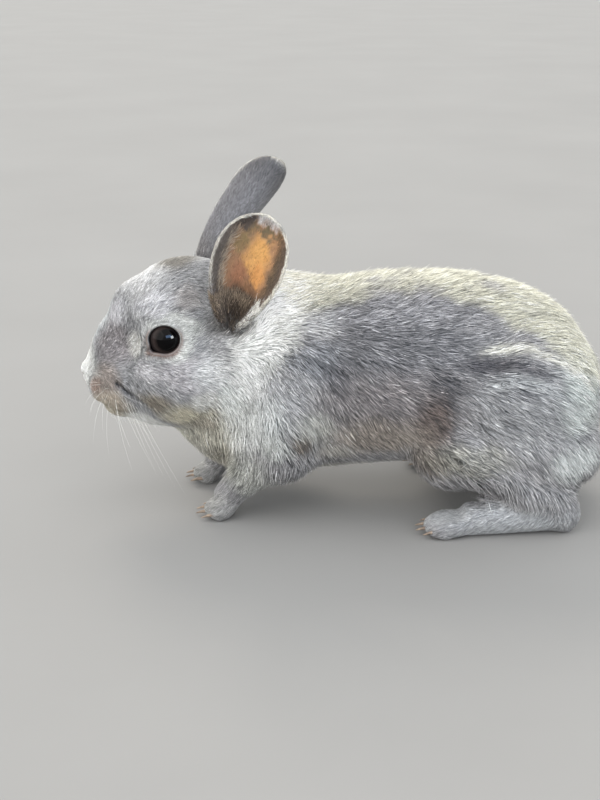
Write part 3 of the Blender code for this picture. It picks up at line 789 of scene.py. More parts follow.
# ---------------------------------------------------------------- the lie of the coat
# Named places on the left side, with the way the hair points there
LIE = [
    # nose, forehead and crown: up the face and over the head
    ((115, 3, 58), (-0.15, 0.1, 1.0)),
    ((107, 6, 75), (-0.45, 0.0, 0.89)),
    ((103, 9, 84), (-0.48, 0.0, 0.85)),
    ((96, 12, 94), (-0.50, 0.0, 0.87)),
    ((93, 6, 103), (-0.65, 0.0, 0.76)),
    ((86, 8, 110), (-0.80, 0.0, 0.60)),
    ((78, 7, 115), (-0.96, 0.0, 0.28)),
    ((66, 8, 116), (-1.0, 0.0, 0.0)),
    ((82, 18, 102), (-0.72, 0.0, 0.70)),
    ((73, 20, 100), (-0.86, 0.0, 0.50)),
    ((66, 18, 105), (-0.96, 0.1, -0.2)),
    ((60, 18, 101), (-0.75, 0.3, -0.6)),
    # round the eye
    ((71, 21, 94), (-0.98, 0.0, 0.20)),
    ((65, 21, 92), (-0.93, 0.0, 0.36)),
    ((61, 20, 87), (-0.76, 0.0, 0.65)),
    ((88, 17, 83), (-0.35, 0.0, 0.93)),
    ((92, 14, 75), (-0.76, 0.0, 0.64)),
    ((99, 12, 79), (-0.45, 0.0, 0.89)),
    ((63, 22, 78), (-0.85, 0.0, 0.52)),
    ((54, 22, 80), (-0.92, 0.2, 0.34)),
    # cheek
    ((97, 15, 69), (-0.95, 0.2, 0.15)),
    ((87, 21, 68), (-0.95, 0.2, -0.15)),
    ((83, 22, 74), (-1.0, 0.1, 0.0)),
    ((70, 24, 75), (-1.0, 0.0, 0.0)),
    ((76, 25, 68), (-0.94, 0.0, -0.34)),
    ((60, 25, 69), (-0.97, 0.0, -0.22)),
    ((88, 20, 61), (-0.82, 0.2, -0.54)),
    ((79, 25, 60), (-0.83, 0.0, -0.56)),
    ((65, 25, 60), (-0.81, 0.0, -0.58)),
    ((55, 23, 57), (-0.76, 0.0, -0.65)),
    ((72, 22, 50), (-0.66, 0.0, -0.75)),
    # up round the foot of the ear
    ((51, 20, 91.5), (0.20, 0.3, 0.93)),
    ((46, 21, 89.5), (0.0, 0.3, 0.95)),
    ((41, 21.5, 92), (-0.30, 0.3, 0.90)),
    # whisker pad, lip and jaw
    ((100, 15, 60), (-0.62, 0.2, -0.76)),
    ((105, 12, 55), (-0.42, 0.2, -0.88)),
    ((110, 7, 54), (-0.25, 0.4, -0.88)),
    ((96, 13, 49), (-0.50, 0.0, -0.86)),
    ((88, 14, 46), (-0.76, 0.0, -0.64)),
    ((96, 0, 40), (-0.98, 0.0, -0.1)),
    ((78, 0, 37), (-0.98, 0.0, -0.2)),
    # nape and neck
    ((48, 0, 110), (-1.0, 0.0, 0.0)),
    ((30, 12, 104), (-1.0, 0.0, 0.05)),
    ((25, 24, 92), (-0.98, 0.1, -0.12)),
    ((38, 26, 84), (-0.99, 0.1, 0.0)),
    ((46, 25, 70), (-0.90, 0.0, -0.42)),
    ((33, 28, 77), (-0.82, 0.2, -0.53)),
    ((31, 32, 66), (-0.66, 0.1, -0.74)),
    ((29, 35, 55), (-0.52, 0.0, -0.86)),
    # throat and chest
    ((66, 12, 40), (-0.25, 0.0, -0.97)),
    ((64, 0, 34), (-0.45, 0.0, -0.9)),
    ((56, 20, 42), (-0.22, 0.0, -0.98)),
    ((57, 8, 26), (-0.45, 0.0, -0.9)),
    ((46, 26, 36), (-0.42, 0.1, -0.9)),
    ((42, 28, 52), (-0.62, 0.1, -0.77)),
    ((34, 0, 17), (-1.0, 0.0, 0.0)),
    # shoulder
    ((19, 33, 84), (-0.82, 0.1, -0.56)),
    ((15, 36, 71), (-0.67, 0.0, -0.75)),
    ((10, 38, 58), (-0.52, 0.0, -0.86)),
    ((2, 39, 63), (-0.77, 0.0, -0.64)),
    ((0, 37, 46), (-0.62, 0.0, -0.78)),
    ((25, 40, 44), (-0.45, 0.0, -0.9)),
    # back and saddle
    ((10, 8, 107), (-1.0, 0.0, 0.02)),
    ((-20, 8, 109), (-1.0, 0.0, 0.0)),
    ((-58, 9, 109), (-1.0, 0.0, -0.12)),
    ((-80, 9, 103), (-0.92, 0.0, -0.40)),
    ((-98, 8, 92), (-0.72, 0.0, -0.69)),
    ((-111, 8, 76), (-0.40, 0.0, -0.92)),
    ((-6, 29, 96), (-0.98, 0.0, -0.20)),
    ((-31, 32, 95), (-1.0, 0.0, -0.08)),
    ((-14, 37, 84), (-0.91, 0.1, -0.42)),
    ((-39, 38, 85), (-1.0, 0.0, 0.0)),
    ((-63, 36, 88), (-1.0, 0.0, -0.08)),
    ((-80, 36, 86), (-0.97, 0.0, -0.24)),
    ((-93, 34, 80), (-0.82, 0.0, -0.56)),
    # over the hip
    ((-55, 40, 79), (-1.0, 0.0, 0.08)),
    ((-67, 39, 80), (-1.0, 0.0, 0.0)),
    ((-80, 40, 78), (-0.96, 0.0, -0.28)),
    ((-97, 38, 70), (-0.78, 0.0, -0.62)),
    ((-63, 42, 73), (-1.0, 0.0, 0.0)),
    ((-80, 43, 70), (-0.96, 0.0, -0.28)),
    # flank and haunch
    ((-23, 42, 64), (-0.89, 0.0, -0.45)),
    ((-39, 43, 64), (-0.93, 0.0, -0.36)),
    ((-56, 43, 60), (-0.90, 0.0, -0.44)),
    ((-72, 45, 60), (-0.90, 0.0, -0.44)),
    ((-89, 43, 58), (-0.80, 0.0, -0.60)),
    ((-103, 36, 53), (-0.62, 0.0, -0.78)),
    ((-15, 40, 50), (-0.75, 0.0, -0.66)),
    ((-31, 41, 50), (-0.86, 0.0, -0.50)),
    ((-48, 43, 46), (-0.88, 0.0, -0.48)),
    ((-65, 44, 46), (-0.86, 0.0, -0.50)),
    ((-77, 44, 45), (-0.70, 0.0, -0.72)),
    ((-90, 42, 42), (-0.70, 0.0, -0.72)),
    ((-105, 33, 38), (-0.50, 0.0, -0.87)),
    ((-40, 43, 38), (-0.89, 0.0, -0.45)),
    ((-56, 46, 36), (-0.86, 0.0, -0.52)),
    ((-73, 45, 34), (-0.70, 0.0, -0.72)),
    # belly and tail
    ((-10, 0, 21), (-1.0, 0.0, 0.0)),
    ((-70, 0, 24), (-1.0, 0.0, 0.0)),
    ((-106, 0, 33), (-0.85, 0.0, -0.5)),
    ((-126, 0, 60), (-0.30, 0.0, 1.0)),
    ((-120, 8, 54), (-0.35, 0.0, 0.95)),
    ((-114, 3, 64), (-0.60, 0.0, 0.8)),
    # forelegs and forepaws
    ((30, 33, 30), (0.30, 0.0, -0.95)),
    ((40, 27, 22), (0.60, 0.0, -0.80)),
    ((50, 23, 12), (0.65, 0.0, -0.76)),
    ((56, 21, 8), (0.90, 0.0, -0.44)),
    ((63, 20, 5), (1.0, 0.0, -0.2)),
    # shanks and hind feet
    ((-80, 42, 24), (-0.55, 0.0, -0.83)),
    ((-92, 39, 18), (-0.35, 0.0, -0.93)),
    ((-102, 33, 9), (-0.25, 0.0, -0.97)),
    ((-85, 40, 11), (0.75, 0.0, -0.65)),
    ((-70, 41, 11), (0.93, 0.0, -0.36)),
    ((-55, 41, 9), (0.97, 0.0, -0.25)),
    ((-42, 40, 6), (1.0, 0.0, -0.2)),
]


def combed(p, n):
    """The way the hair points at each point: the named places' ways, nearest strongest, laid along the skin."""
    places = np.array([c for c, _ in LIE], np.float32)
    ways = unit(np.array([w for _, w in LIE], np.float32))
    flip = np.array((1, -1, 1), np.float32)
    places = np.concatenate([places, places * flip])
    ways = np.concatenate([ways, ways * flip])
    q = folded(p).astype(np.float32)
    made = np.zeros_like(q)
    for start in range(0, len(q), 20000):
        part = q[start : start + 20000]
        d = ((part[:, None, :] - places[None]) ** 2).sum(2) + 12.0
        w = 1.0 / (d * d)
        made[start : start + 20000] = (w @ ways) / w.sum(1)[:, None]
    made = unit(made.astype(float))
    rho, _, along, outward = round_the_eye(q.astype(float))
    made += (1.7 * (1 - step(1.05, 1.75, rho)) * (along > 0))[:, None] * outward
    made[:, 1] *= np.where(p[:, 1] < 0, -1.0, 1.0)
    made = unit(made - n * np.einsum("ij,ij->i", made, n)[:, None])
    turn = np.radians(11.0 * lattice_noise(p, 11.0, 5) + 12.0 * lattice_noise(p, 4.0, 6))
    across = np.cross(n, made)
    return unit(made * np.cos(turn)[:, None] + across * np.sin(turn)[:, None])


# ---------------------------------------------------------------- the markings
TONES = {
    "white": (247, 248, 244),
    "pearl": (222, 225, 223),
    "cream": (203, 201, 184),
    "silver": (189, 193, 197),
    "ash": (142, 141, 143),
    "dove": (146, 143, 142),
    "slate": (126, 127, 131),
    "soot": (94, 93, 97),
    "buff": (150, 142, 127),
    "umber": (106, 97, 87),
    "coal": (62, 60, 58),
    "bark": (72, 62, 54),
    "rose": (134, 120, 114),
    "tan": (130, 104, 93),
    "lid": (66, 56, 52),
}
# place, reach, tone and strength, each fading out at about 1.3 of its reach
MARKINGS = [
    # back, saddle and flank
    ("saddle", (-18, 38, 84), (45, 20, 17), (115, 115, 119), 1.0),
    ("ticked back", (-24, 24, 97), (50, 9, 8), (135, 135, 140), 0.7),
    ("shoulder shade", (14, 36, 78), (15, 16, 10), (124, 126, 131), 0.95),
    ("flank", (-25, 42, 60), (38, 14, 15), (130, 125, 126), 0.9),
    ("flank shade", (-42, 42, 66), (9, 12, 10), (84, 82, 84), 0.85),
    # painted shade in the fold between the flank and the thigh
    ("fold before the thigh", (-38, 42, 52), (9, 12, 14), (94, 82, 76), 0.85),
    ("low flank", (-16, 38, 44), (24, 14, 10), (147, 138, 129), 0.8),
    ("forearm side", (3, 38, 70), (8, 10, 8), (84, 83, 88), 0.55),
    ("shoulder", (26, 36, 64), (13, 12, 12), (167, 168, 172), 0.95),
    ("shoulder front", (32, 34, 51), (10, 12, 10), (203, 207, 208), 0.9),
    ("behind the elbow", (12, 38, 47), (9, 10, 8), (192, 193, 188), 0.8),
    ("behind the withers", (9, 28, 92), (8, 9, 6), (190, 191, 194), 0.75),
    ("belly before the thigh", (-36, 38, 33), (11, 14, 7), (106, 97, 88), 0.7),
    ("before the elbow", (30, 38, 39), (9, 8, 6), (206, 210, 208), 0.8),
    ("belly behind the elbow", (3, 32, 35), (9, 9, 5), (190, 186, 178), 0.6),
    # painted shadow between the foreleg and the body, in the fold at the elbow
    ("elbow fold", (17, 39, 40), (5, 8, 5), (98, 87, 76), 0.8),
    # haunch
    ("haunch", (-76, 44, 58), (26, 16, 20), (156, 157, 160), 1.0),
    ("hip shade", (-62, 40, 78.5), (16, 10, 3.6), (78, 74, 77), 0.7),
    ("hind edge", (-100, 34, 65), (11, 14, 20), (200, 208, 206), 0.9),
    ("low thigh", (-54, 44, 36), (18, 12, 8), (151, 150, 138), 0.55),
    ("back of the thigh", (-100, 40, 33), (12, 11, 8), (220, 226, 226), 0.8),
    ("dark spot on the haunch", (-75, 44, 66), (5.5, 5, 2.2), "soot", 0.7),
    ("dark spot behind", (-101, 35, 44), (4, 7, 3), "soot", 0.6),
    ("dark spot under it", (-96, 39, 38), (4, 7, 3), "soot", 0.2),
    # nape and neck
    ("nape", (32, 12, 103), (20, 17, 12), (246, 241, 228), 1.0),
    ("behind the ear", (31, 22, 94), (14, 12, 11), (254, 254, 250), 1.0),
    ("side of the neck", (24, 27, 88), (8, 9, 8), (214, 215, 213), 0.8),
    ("neck band", (36, 27, 80), (12, 11, 12), (246, 248, 246), 0.95),
    ("neck band below", (41, 29, 68), (9, 11, 11), (248, 250, 250), 0.85),
    ("jowl edge", (49, 26, 56), (7, 10, 9), (216, 221, 220), 0.8),
    # chest, belly
    ("chest", (55, 12, 38), (16, 20, 16), (191, 187, 170), 0.65),
    ("chest side", (44, 28, 46), (11, 11, 13), (232, 235, 232), 0.55),
    ("belly", (-20, 0, 22), (110, 26, 7), (210, 206, 190), 0.8),
    ("under the tail", (-110, 0, 40), (12, 14, 14), (214, 214, 206), 0.8),
    ("tail", (-122, 0, 55), (9, 12, 16), "pearl", 0.7),
    ("upper side of the tail", (-113, 0, 64), (8, 9, 9), "slate", 0.7),
    # head
    ("forehead", (85, 0, 106), (15, 18, 9), (211, 211, 213), 0.95),
    ("crown", (73, 0, 113), (10, 13, 5), (122, 119, 114), 1.0),
    ("side of the crown", (66, 18, 101), (6, 8, 6), (165, 161, 160), 0.8),
    ("brow", (87, 19, 93), (5, 6, 4), (206, 207, 210), 0.7),
    ("temple", (80, 18, 99), (10, 8, 6), (222, 222, 228), 0.75),
    ("side of the forehead", (98, 9, 92), (5, 6, 7), (221, 220, 226), 0.8),
    ("snout", (99, 10, 78), (9, 11, 11), (150, 145, 147), 0.9),
    ("bridge of the nose", (104, 0, 84), (8, 6, 14), (200, 205, 208), 0.65),
    ("before the eye", (89.5, 15, 79), (4, 6, 6), (232, 231, 226), 0.85),
    ("behind the eye", (65, 22.5, 87.5), (6, 7, 5), (216, 220, 216), 0.7),
    ("cheek", (66, 25, 68), (13, 10, 9), (192, 189, 194), 0.8),
    ("cheek below the eye", (85, 22, 69), (7, 7, 5), (218, 216, 221), 0.75),
    ("cheek light", (56, 24, 68), (9, 9, 8), (221, 223, 225), 0.85),
    ("jaw shade", (80, 23, 55), (8, 9, 4.5), (124, 116, 103), 0.85),
    ("jaw", (68, 22, 49), (11, 10, 6), (192, 185, 162), 0.8),
    # painted shadow cast by the left ear on the head below it
    ("under the left ear", (52, 20, 89), (9, 7, 5), (140, 139, 139), 0.95),
    ("bowl of the left ear", (46.5, 21.5, 91.5), (8.5, 7.5, 5.5), (74, 65, 56), 1.0),
    ("bowl of the right ear", (60.5, 16, 101.5), (6, 6, 5), "bark", 0.95),
    # muzzle
    ("muzzle", (103, 13, 62), (8, 7, 8), (158, 146, 138), 0.75),
    ("whisker roots", (104, 13, 59), (4, 5, 3.5), "umber", 0.3),
    ("pad", (102, 13, 51), (10, 8, 6), (190, 176, 158), 0.7),
    ("nose", (115.5, 0, 64.0), (11.0, 13.0, 12.0), "white", 1.0),
    ("pink side of the nose", (108.5, 11.0, 57.8), (3.4, 3.4, 4.2), (148, 126, 114), 0.75),
    ("nose leather edge", (117, 0, 58.5), (2.2, 3.4, 2.8), "buff", 0.7),
    ("chin", (101, 0, 47), (13, 14, 6.5), (186, 176, 156), 0.85),
    ("jowl", (59, 23, 55), (7, 6, 5), (226, 226, 222), 0.8),
    ("throat shade", (61, 20, 43), (7, 8, 4.5), (138, 131, 119), 0.7),
    # painted shade low on the chest, where it turns under towards the floor
    ("low chest", (49, 20, 26), (10, 12, 7), (116, 112, 103), 0.8),
    ("under the jaw", (88, 8, 42), (12, 12, 4.5), "white", 0.9),
    ("throat", (68, 0, 36), (13, 15, 8), "cream", 0.6),
    # legs
    ("forearm", (38, 26, 24), (16, 12, 12), (150, 152, 146), 0.75),
    ("forepaw", (56, 20, 6), (13, 10, 8), (160, 160, 158), 0.8),
    ("hind foot", (-68, 36, 6), (36, 12, 9), "silver", 0.75),
]
# bands of colour: path along the left side, half width, tone and strength
BANDS = [
    (
        "dark arc under the hip's pale one",
        [(-50, 39, 77.0), (-59, 39, 78.3), (-71, 40, 77.6), (-80, 40, 75.4), (-89, 39.5, 71.5)],
        2.7,
        (70, 67, 70),
        0.85,
    ),
    (
        "pale arc over the hip",
        [(-57, 37.5, 83), (-64, 36.5, 84.8), (-72, 36.5, 85.4), (-82, 37.5, 83), (-91, 37.5, 78.5), (-100, 36, 72), (-107, 32, 64)],
        1.9,
        (246, 244, 232),
        0.9,
    ),
    (
        "second light band",
        [(-58, 41.5, 68.5), (-67, 42, 71.0), (-76, 42, 71.0), (-84, 42, 68.0), (-93, 41, 62.0), (-103, 36.5, 54)],
        3.0,
        (174, 178, 181),
        0.6,
    ),
    ("shade from the mouth to the jowl", [(92.5, 17.3, 57), (84, 22, 52.7), (76, 23, 49)], 3.0, (122, 115, 105), 0.6),
]
# where the pale back ends on the side, by how far along the body
PALE_BACK = [(19, 94.5), (10, 96.0), (-2, 99.5), (-8, 101.8), (-15, 104.1), (-32, 105.5), (-48, 101.5), (-64, 95.8), (-81, 88.5), (-93, 78.0), (-103, 69.0), (-111, 60.0)]
GREY_SPOTS = [(-64, 9, 105, 7.0), (-40, 16, 105, 6.0), (-84, 20, 97, 4.5), (-12, 8, 108, 5.0)]


def tone_at(p):
    """The coat's colour at each point, linear, the same for skin and tufts."""
    q = folded(p)
    wander = np.stack([lattice_noise(p, 7.0, s) for s in (21, 22, 23)], axis=1)
    ragged = q + 2.2 * wander
    edgy = q + 0.9 * wander + 0.7 * np.stack([lattice_noise(p, 2.6, s) for s in (24, 25, 26)], axis=1)
    head = headness(p)
    base = linear(TONES["ash"]) + (linear(TONES["silver"]) - linear(TONES["ash"])) * (0.25 * head)[:, None]

    def mix(tone, weight):
        base[:] += weight[:, None] * (linear(TONES.get(tone, tone)) - base)

    for name, centre, reach, tone, strength in MARKINGS:
        if name == "nape":
            # the pale back, down to its ragged edge
            xs, zs = np.array(sorted(PALE_BACK), float).T
            over = ragged[:, 2] - np.interp(ragged[:, 0], xs, zs)
            pale = step(-2.5, 3.0, over) * (1 - step(24, 34, q[:, 0])) * (1 - head) * step(60, 70, q[:, 2])
            mix("cream", 0.92 * pale * (1 - 0.25 * step(-0.5, 1.0, lattice_noise(p, 5.0, 27))))
            for x, y, z, r in GREY_SPOTS:
                mix("ash", 0.75 * pale * (1 - step(0.4, 1.2, np.linalg.norm(ragged - np.array((x, y, z)), axis=1) / r)))
        d = np.linalg.norm(((edgy if max(reach) < 10 else ragged) - np.array(centre)) / np.array(reach), axis=1)
        weight = strength * (1 - step(0.45, 1.35, d))
        if "left ear" in name:
            weight = weight * step(-3, 3, p[:, 1])
        if "right ear" in name:
            weight = weight * step(-3, 3, -p[:, 1])
        mix(tone, weight)
    for _, path, wide, tone, strength in BANDS:
        d, along = polyline_distance(edgy if wide > 1.5 else q + 0.3 * wander, path)
        ends = step(0.0, 0.7, along) * (1 - step(len(path) - 1.7, len(path) - 1.0, along))
        mix(tone, strength * np.exp(-((d / wide) ** 2)) * (0.25 + 0.75 * ends))
    # the pale ring round the eye, broad behind it and above, and the dark line of the lids
    rho, angle, out, _ = round_the_eye(q)
    behind = step(-0.3, 0.9, -np.cos(angle))
    above = step(0.2, 0.9, np.sin(angle))
    below = step(0.1, 0.8, -np.sin(angle))
    outer = 1.45 + 0.55 * behind + 0.40 * above * behind + 0.10 * above
    near = out > 0
    mix((206, 208, 206), (1 - step(outer - 0.30, outer + 0.35, rho)) * near * (0.50 + 0.45 * np.maximum(behind, above)))
    rim = np.exp(-(((rho - 1.14) / (0.05 + 0.05 * below)) ** 2)) * near
    mix("lid", rim * (0.9 - 0.25 * below))
    corners = np.maximum(step(0.6, 1.0, np.cos(angle)) * 0.8, step(0.55, 1.0, -np.cos(angle)) * 0.7)
    mix("tan", 0.92 * np.exp(-(((rho - 1.25) / 0.16) ** 2)) * np.maximum(below, corners) * near)
    face = (q[:, 0] > 78) & (q[:, 2] < 76)
    for name, _, width, _, tone in FACE_LINES:
        weight = np.zeros(len(q))
        d = np.min([polyline_distance(q[face] + 0.35 * (edgy - q)[face], path)[0] for path in LAID_LINES[name]], axis=0)
        weight[face] = np.exp(-((d / width) ** 2))
        mix(tone, weight)
    cloud = 1 + 0.10 * lattice_noise(p, 9.0, 31) + 0.09 * lattice_noise(p, 3.5, 32)
    return np.clip(base * cloud[:, None], 0.004, 0.97)


# an ear's inner face: how far up, how far across (-1 the front edge, 1 the hind one), the reach of each, colour
EAR_MARKS = [
    ("glow", 0.67, 0.12, 0.21, 0.40, (208, 157, 94), 1.0),
    ("lit hind side", 0.49, 0.28, 0.20, 0.24, (200, 144, 86), 1.0),
    ("rosy front side", 0.44, -0.20, 0.18, 0.30, (154, 108, 80), 0.9),
    ("olive corner", 0.76, -0.36, 0.12, 0.26, (134, 114, 76), 0.9),
    ("deep part", 0.33, 0.12, 0.12, 0.60, (124, 93, 71), 0.9),
    ("hind shade", 0.56, 0.73, 0.34, 0.20, (106, 90, 72), 0.95),
    ("dark line under the tip", 0.875, 0.15, 0.045, 0.85, (104, 93, 70), 0.95),
    ("ticked front edge", 0.50, -0.90, 0.40, 0.20, (116, 106, 98), 0.95),
    ("bowl", 0.08, 0.0, 0.24, 1.60, (84, 71, 60), 1.0),
]


def ear_tone(number, s, j, side):
    """An ear's colour by how far up and across a point lies, and on which face."""
    n = len(s)
    wander = 0.03 * np.sin(37.0 * s + 11.0 * j) + 0.02 * np.sin(23.0 * j - 61.0 * s)
    f = np.where(number == 0, j, -j)  # -1 at the edge that faces forward
    across = np.abs(j)
    back = np.tile(linear((130, 129, 133)), (n, 1))
    back = back + ((1 - step(0.10, 0.45, across)) * 0.45)[:, None] * (linear((142, 141, 146)) - back)
    back = back + ((1 - step(0.06, 0.30, s)) * 0.6)[:, None] * (linear((108, 104, 102)) - back)
    back = back + (step(0.62, 0.92, s) * 0.9)[:, None] * (linear((100, 98, 100)) - back)
    made = np.tile(linear((156, 119, 88)), (n, 1))
    for _, up, middle, reach, wide, colour, strength in EAR_MARKS:
        d = np.hypot((s + wander - up) / reach, (f + wander - middle) / wide)
        made += (strength * (1 - step(0.35, 1.15, d)))[:, None] * (linear(colour) - made)
    margin = np.where((f < 0)[:, None], linear((112, 104, 98)), linear((104, 90, 79)))
    furred = np.maximum(step(0.60, 0.74, across + wander) * (f < 0), step(0.66, 0.86, across + wander) * (f > 0))
    furred *= 1 - 0.6 * step(0.80, 0.92, s)
    made += (0.92 * furred)[:, None] * (margin - made)
    made += (1 - step(0.24, 0.38, s + wander + 0.06 * f))[:, None] * (linear((86, 73, 62)) - made)
    white = step(0.905, 0.955, s + 0.4 * wander) * step(-0.70, -0.35, f)
    made += (0.9 * white)[:, None] * (linear((208, 207, 208)) - made)
    dark = step(0.82, 0.86, s + 0.4 * wander) * (1 - step(0.95, 0.975, s)) * (1 - step(-0.52, -0.24, f)) * step(-0.96, -0.84, f)
    made += (0.85 * dark)[:, None] * (linear((58, 56, 55)) - made)
    # pale edges on the back face and a pale rim round the inner face: partly the ear's own pale edge hair, partly
    # painted rim light, the rim reaching lowest on the hind edge
    pale_edge_and_rim_light = np.maximum(0.85 * step(0.84, 0.97, across) * step(0.25, 0.5, s), 0.9 * step(0.935, 0.98, s))
    back += pale_edge_and_rim_light[:, None] * (linear((224, 221, 214)) - back)
    made = np.where((side > 0)[:, None], made, back)
    top = step(0.74, 0.90, s)
    edge = np.where(f > 0, step(0.22, 0.40, s), np.maximum(0.30 * step(0.3, 0.5, s), 0.8 * top))
    rim = np.maximum(step(0.95, 0.995, across) * edge, step(0.972, 0.995, s) * 0.85)
    return made + rim[:, None] * (linear((222, 217, 204)) - made)


# ---------------------------------------------------------------- materials
def new_material(name):
    mat = bpy.data.materials.new(name)
    mat.use_nodes = True
    tree = mat.node_tree
    shader = tree.nodes["Principled BSDF"]
    return mat, tree, shader


def node(tree, kind, **settings):
    made = tree.nodes.new(kind)
    for key, value in settings.items():
        if key in made.inputs:
            made.inputs[key].default_value = value
        else:
            setattr(made, key, value)
    return made


def fur_material(name, rough, mottling, bumpy=False):
    """Takes its colour from the markings, with fine mottling; the skin's also has a fine noise bump."""
    mat, tree, shader = new_material(name)
    link = tree.links.new
    tone = node(tree, "ShaderNodeAttribute", attribute_name="tone")
    place = node(tree, "ShaderNodeTexCoord")
    noise = node(tree, "ShaderNodeTexNoise", Scale=1100.0, Detail=3.0, Roughness=0.6)
    link(place.outputs["Object"], noise.inputs["Vector"])
    ramp = node(tree, "ShaderNodeMapRange")
    ramp.inputs["From Min"].default_value, ramp.inputs["From Max"].default_value = 0.25, 0.75
    ramp.inputs["To Min"].default_value, ramp.inputs["To Max"].default_value = 1 - mottling, 1 + mottling
    link(noise.outputs["Fac"], ramp.inputs["Value"])
    mix = node(tree, "ShaderNodeVectorMath", operation="MULTIPLY")
    link(tone.outputs["Color"], mix.inputs[0])
    link(ramp.outputs["Result"], mix.inputs[1])
    link(mix.outputs["Vector"], shader.inputs["Base Color"])
    wear = node(tree, "ShaderNodeMapRange")
    wear.inputs["To Min"].default_value, wear.inputs["To Max"].default_value = rough - 0.08, rough + 0.08
    link(noise.outputs["Fac"], wear.inputs["Value"])
    link(wear.outputs["Result"], shader.inputs["Roughness"])
    shader.inputs["Specular IOR Level"].default_value = 0.28
    shader.inputs["Sheen Weight"].default_value = 0.12
    shader.inputs["Sheen Roughness"].default_value = 0.45
    if bumpy:
        fine = node(tree, "ShaderNodeTexNoise", Scale=1900.0, Detail=2.0)
        link(place.outputs["Object"], fine.inputs["Vector"])
        bump = node(tree, "ShaderNodeBump", Strength=0.35, Distance=0.0003)
        link(fine.outputs["Fac"], bump.inputs["Height"])
        link(bump.outputs["Normal"], shader.inputs["Normal"])
    return mat


def eye_material():
    mat, tree, shader = new_material("eye_ball")
    link = tree.links.new
    away = node(tree, "ShaderNodeAttribute", attribute_name="away")  # 0 at the pupil's middle, 1 at the lids
    place = node(tree, "ShaderNodeTexCoord")
    noise = node(tree, "ShaderNodeTexNoise", Scale=700.0, Detail=4.0, Roughness=0.65)
    link(place.outputs["Object"], noise.inputs["Vector"])
    shift = node(tree, "ShaderNodeMath", operation="MULTIPLY_ADD")
    shift.inputs[1].default_value = 0.10
    shift.inputs[2].default_value = -0.05
    link(noise.outputs["Fac"], shift.inputs[0])
    total = node(tree, "ShaderNodeMath", operation="ADD")
    link(away.outputs["Fac"], total.inputs[0])
    link(shift.outputs["Value"], total.inputs[1])
    ramp = node(tree, "ShaderNodeValToRGB")
    link(total.outputs["Value"], ramp.inputs["Fac"])
    stops = [
        (0.0, (2, 2, 3)),
        (0.64, (4, 3, 4)),
        (0.71, (28, 22, 21)),
        (0.84, (46, 38, 37)),
        (0.94, (32, 26, 26)),
        (1.0, (9, 7, 8)),
    ]
    ramp.color_ramp.elements[0].position = 0.0
    ramp.color_ramp.elements[0].color = (*linear(stops[0][1]), 1)
    ramp.color_ramp.elements[1].position = 1.0
    ramp.color_ramp.elements[1].color = (*linear(stops[-1][1]), 1)
    for where, colour in stops[1:-1]:
        ramp.color_ramp.elements.new(where).color = (*linear(colour), 1)
    link(ramp.outputs["Color"], shader.inputs["Base Color"])
    shader.inputs["Roughness"].default_value = 0.30
    shader.inputs["Coat Weight"].default_value = 0.30
    shader.inputs["Coat Roughness"].default_value = 0.035
    shader.inputs["Coat IOR"].default_value = 1.40
    shader.inputs["Specular IOR Level"].default_value = 0.0
    return mat


def plain_material(name, colour, other, rough, scale, specular=0.4):
    """Two close colours mixed by noise, with a varying roughness."""
    mat, tree, shader = new_material(name)
    link = tree.links.new
    place = node(tree, "ShaderNodeTexCoord")
    noise = node(tree, "ShaderNodeTexNoise", Scale=scale, Detail=4.0)
    link(place.outputs["Object"], noise.inputs["Vector"])
    ramp = node(tree, "ShaderNodeValToRGB")
    ramp.color_ramp.elements[0].position, ramp.color_ramp.elements[1].position = 0.3, 0.7
    ramp.color_ramp.elements[0].color = (*linear(colour), 1)
    ramp.color_ramp.elements[1].color = (*linear(other), 1)
    link(noise.outputs["Fac"], ramp.inputs["Fac"])
    link(ramp.outputs["Color"], shader.inputs["Base Color"])
    wear = node(tree, "ShaderNodeMapRange")
    wear.inputs["To Min"].default_value, wear.inputs["To Max"].default_value = rough * 0.85, min(rough * 1.15, 1)
    link(noise.outputs["Fac"], wear.inputs["Value"])
    link(wear.outputs["Result"], shader.inputs["Roughness"])
    shader.inputs["Specular IOR Level"].default_value = specular
    return mat


def set_tone(mesh, colours, name="tone"):
    layer = mesh.color_attributes.new(name, "FLOAT_COLOR", "POINT")
    flat = np.ones((len(colours), 4), np.float32)
    flat[:, :3] = colours
    layer.data.foreach_set("color", flat.ravel())


# ---------------------------------------------------------------- the skin's colours and map
def paint_skin(skin, chart):
    p = points_of(skin.data)
    # the skin is painted at 0.80 of the coat's colour above it: painted shade for the gaps between the tufts
    colours = tone_at(p + normals_of(skin.data) * (0.9 * coat_at(p)[:, :1])) * 0.80
    near = (p[:, 2] > 84) & (p[:, 0] < 75)
    d, number, s, j, side, _, _ = chart.at(p[near])
    on = (1 - step(0.9, 2.2, d)) * step(0.05, 0.2, s)
    mixed = colours[near]
    colours[near] = mixed + on[:, None] * (ear_tone(number, s, j, side) - mixed)
    q = folded(p)
    rho, angle, out, _ = round_the_eye(q)
    lid = (1 - step(1.05, 1.12, rho)) * (out > 0)
    colours += lid[:, None] * (linear((30, 23, 23)) - colours)
    below = step(0.0, 0.7, -np.sin(angle)) * (out > 0)
    edge = np.exp(-(((rho - 1.08) / 0.035) ** 2)) * below
    colours += (0.75 * edge)[:, None] * (linear((112, 90, 82)) - colours)
    set_tone(skin.data, np.clip(colours, 0, 1))


def unwrap(skin):
    bpy.context.view_layer.objects.active = skin
    skin.select_set(True)
    bpy.ops.object.mode_set(mode="EDIT")
    bpy.ops.mesh.select_all(action="SELECT")
    bpy.ops.uv.smart_project(angle_limit=1.15, island_margin=0.002, scale_to_bounds=True)
    bpy.ops.object.mode_set(mode="OBJECT")
    skin.select_set(False)


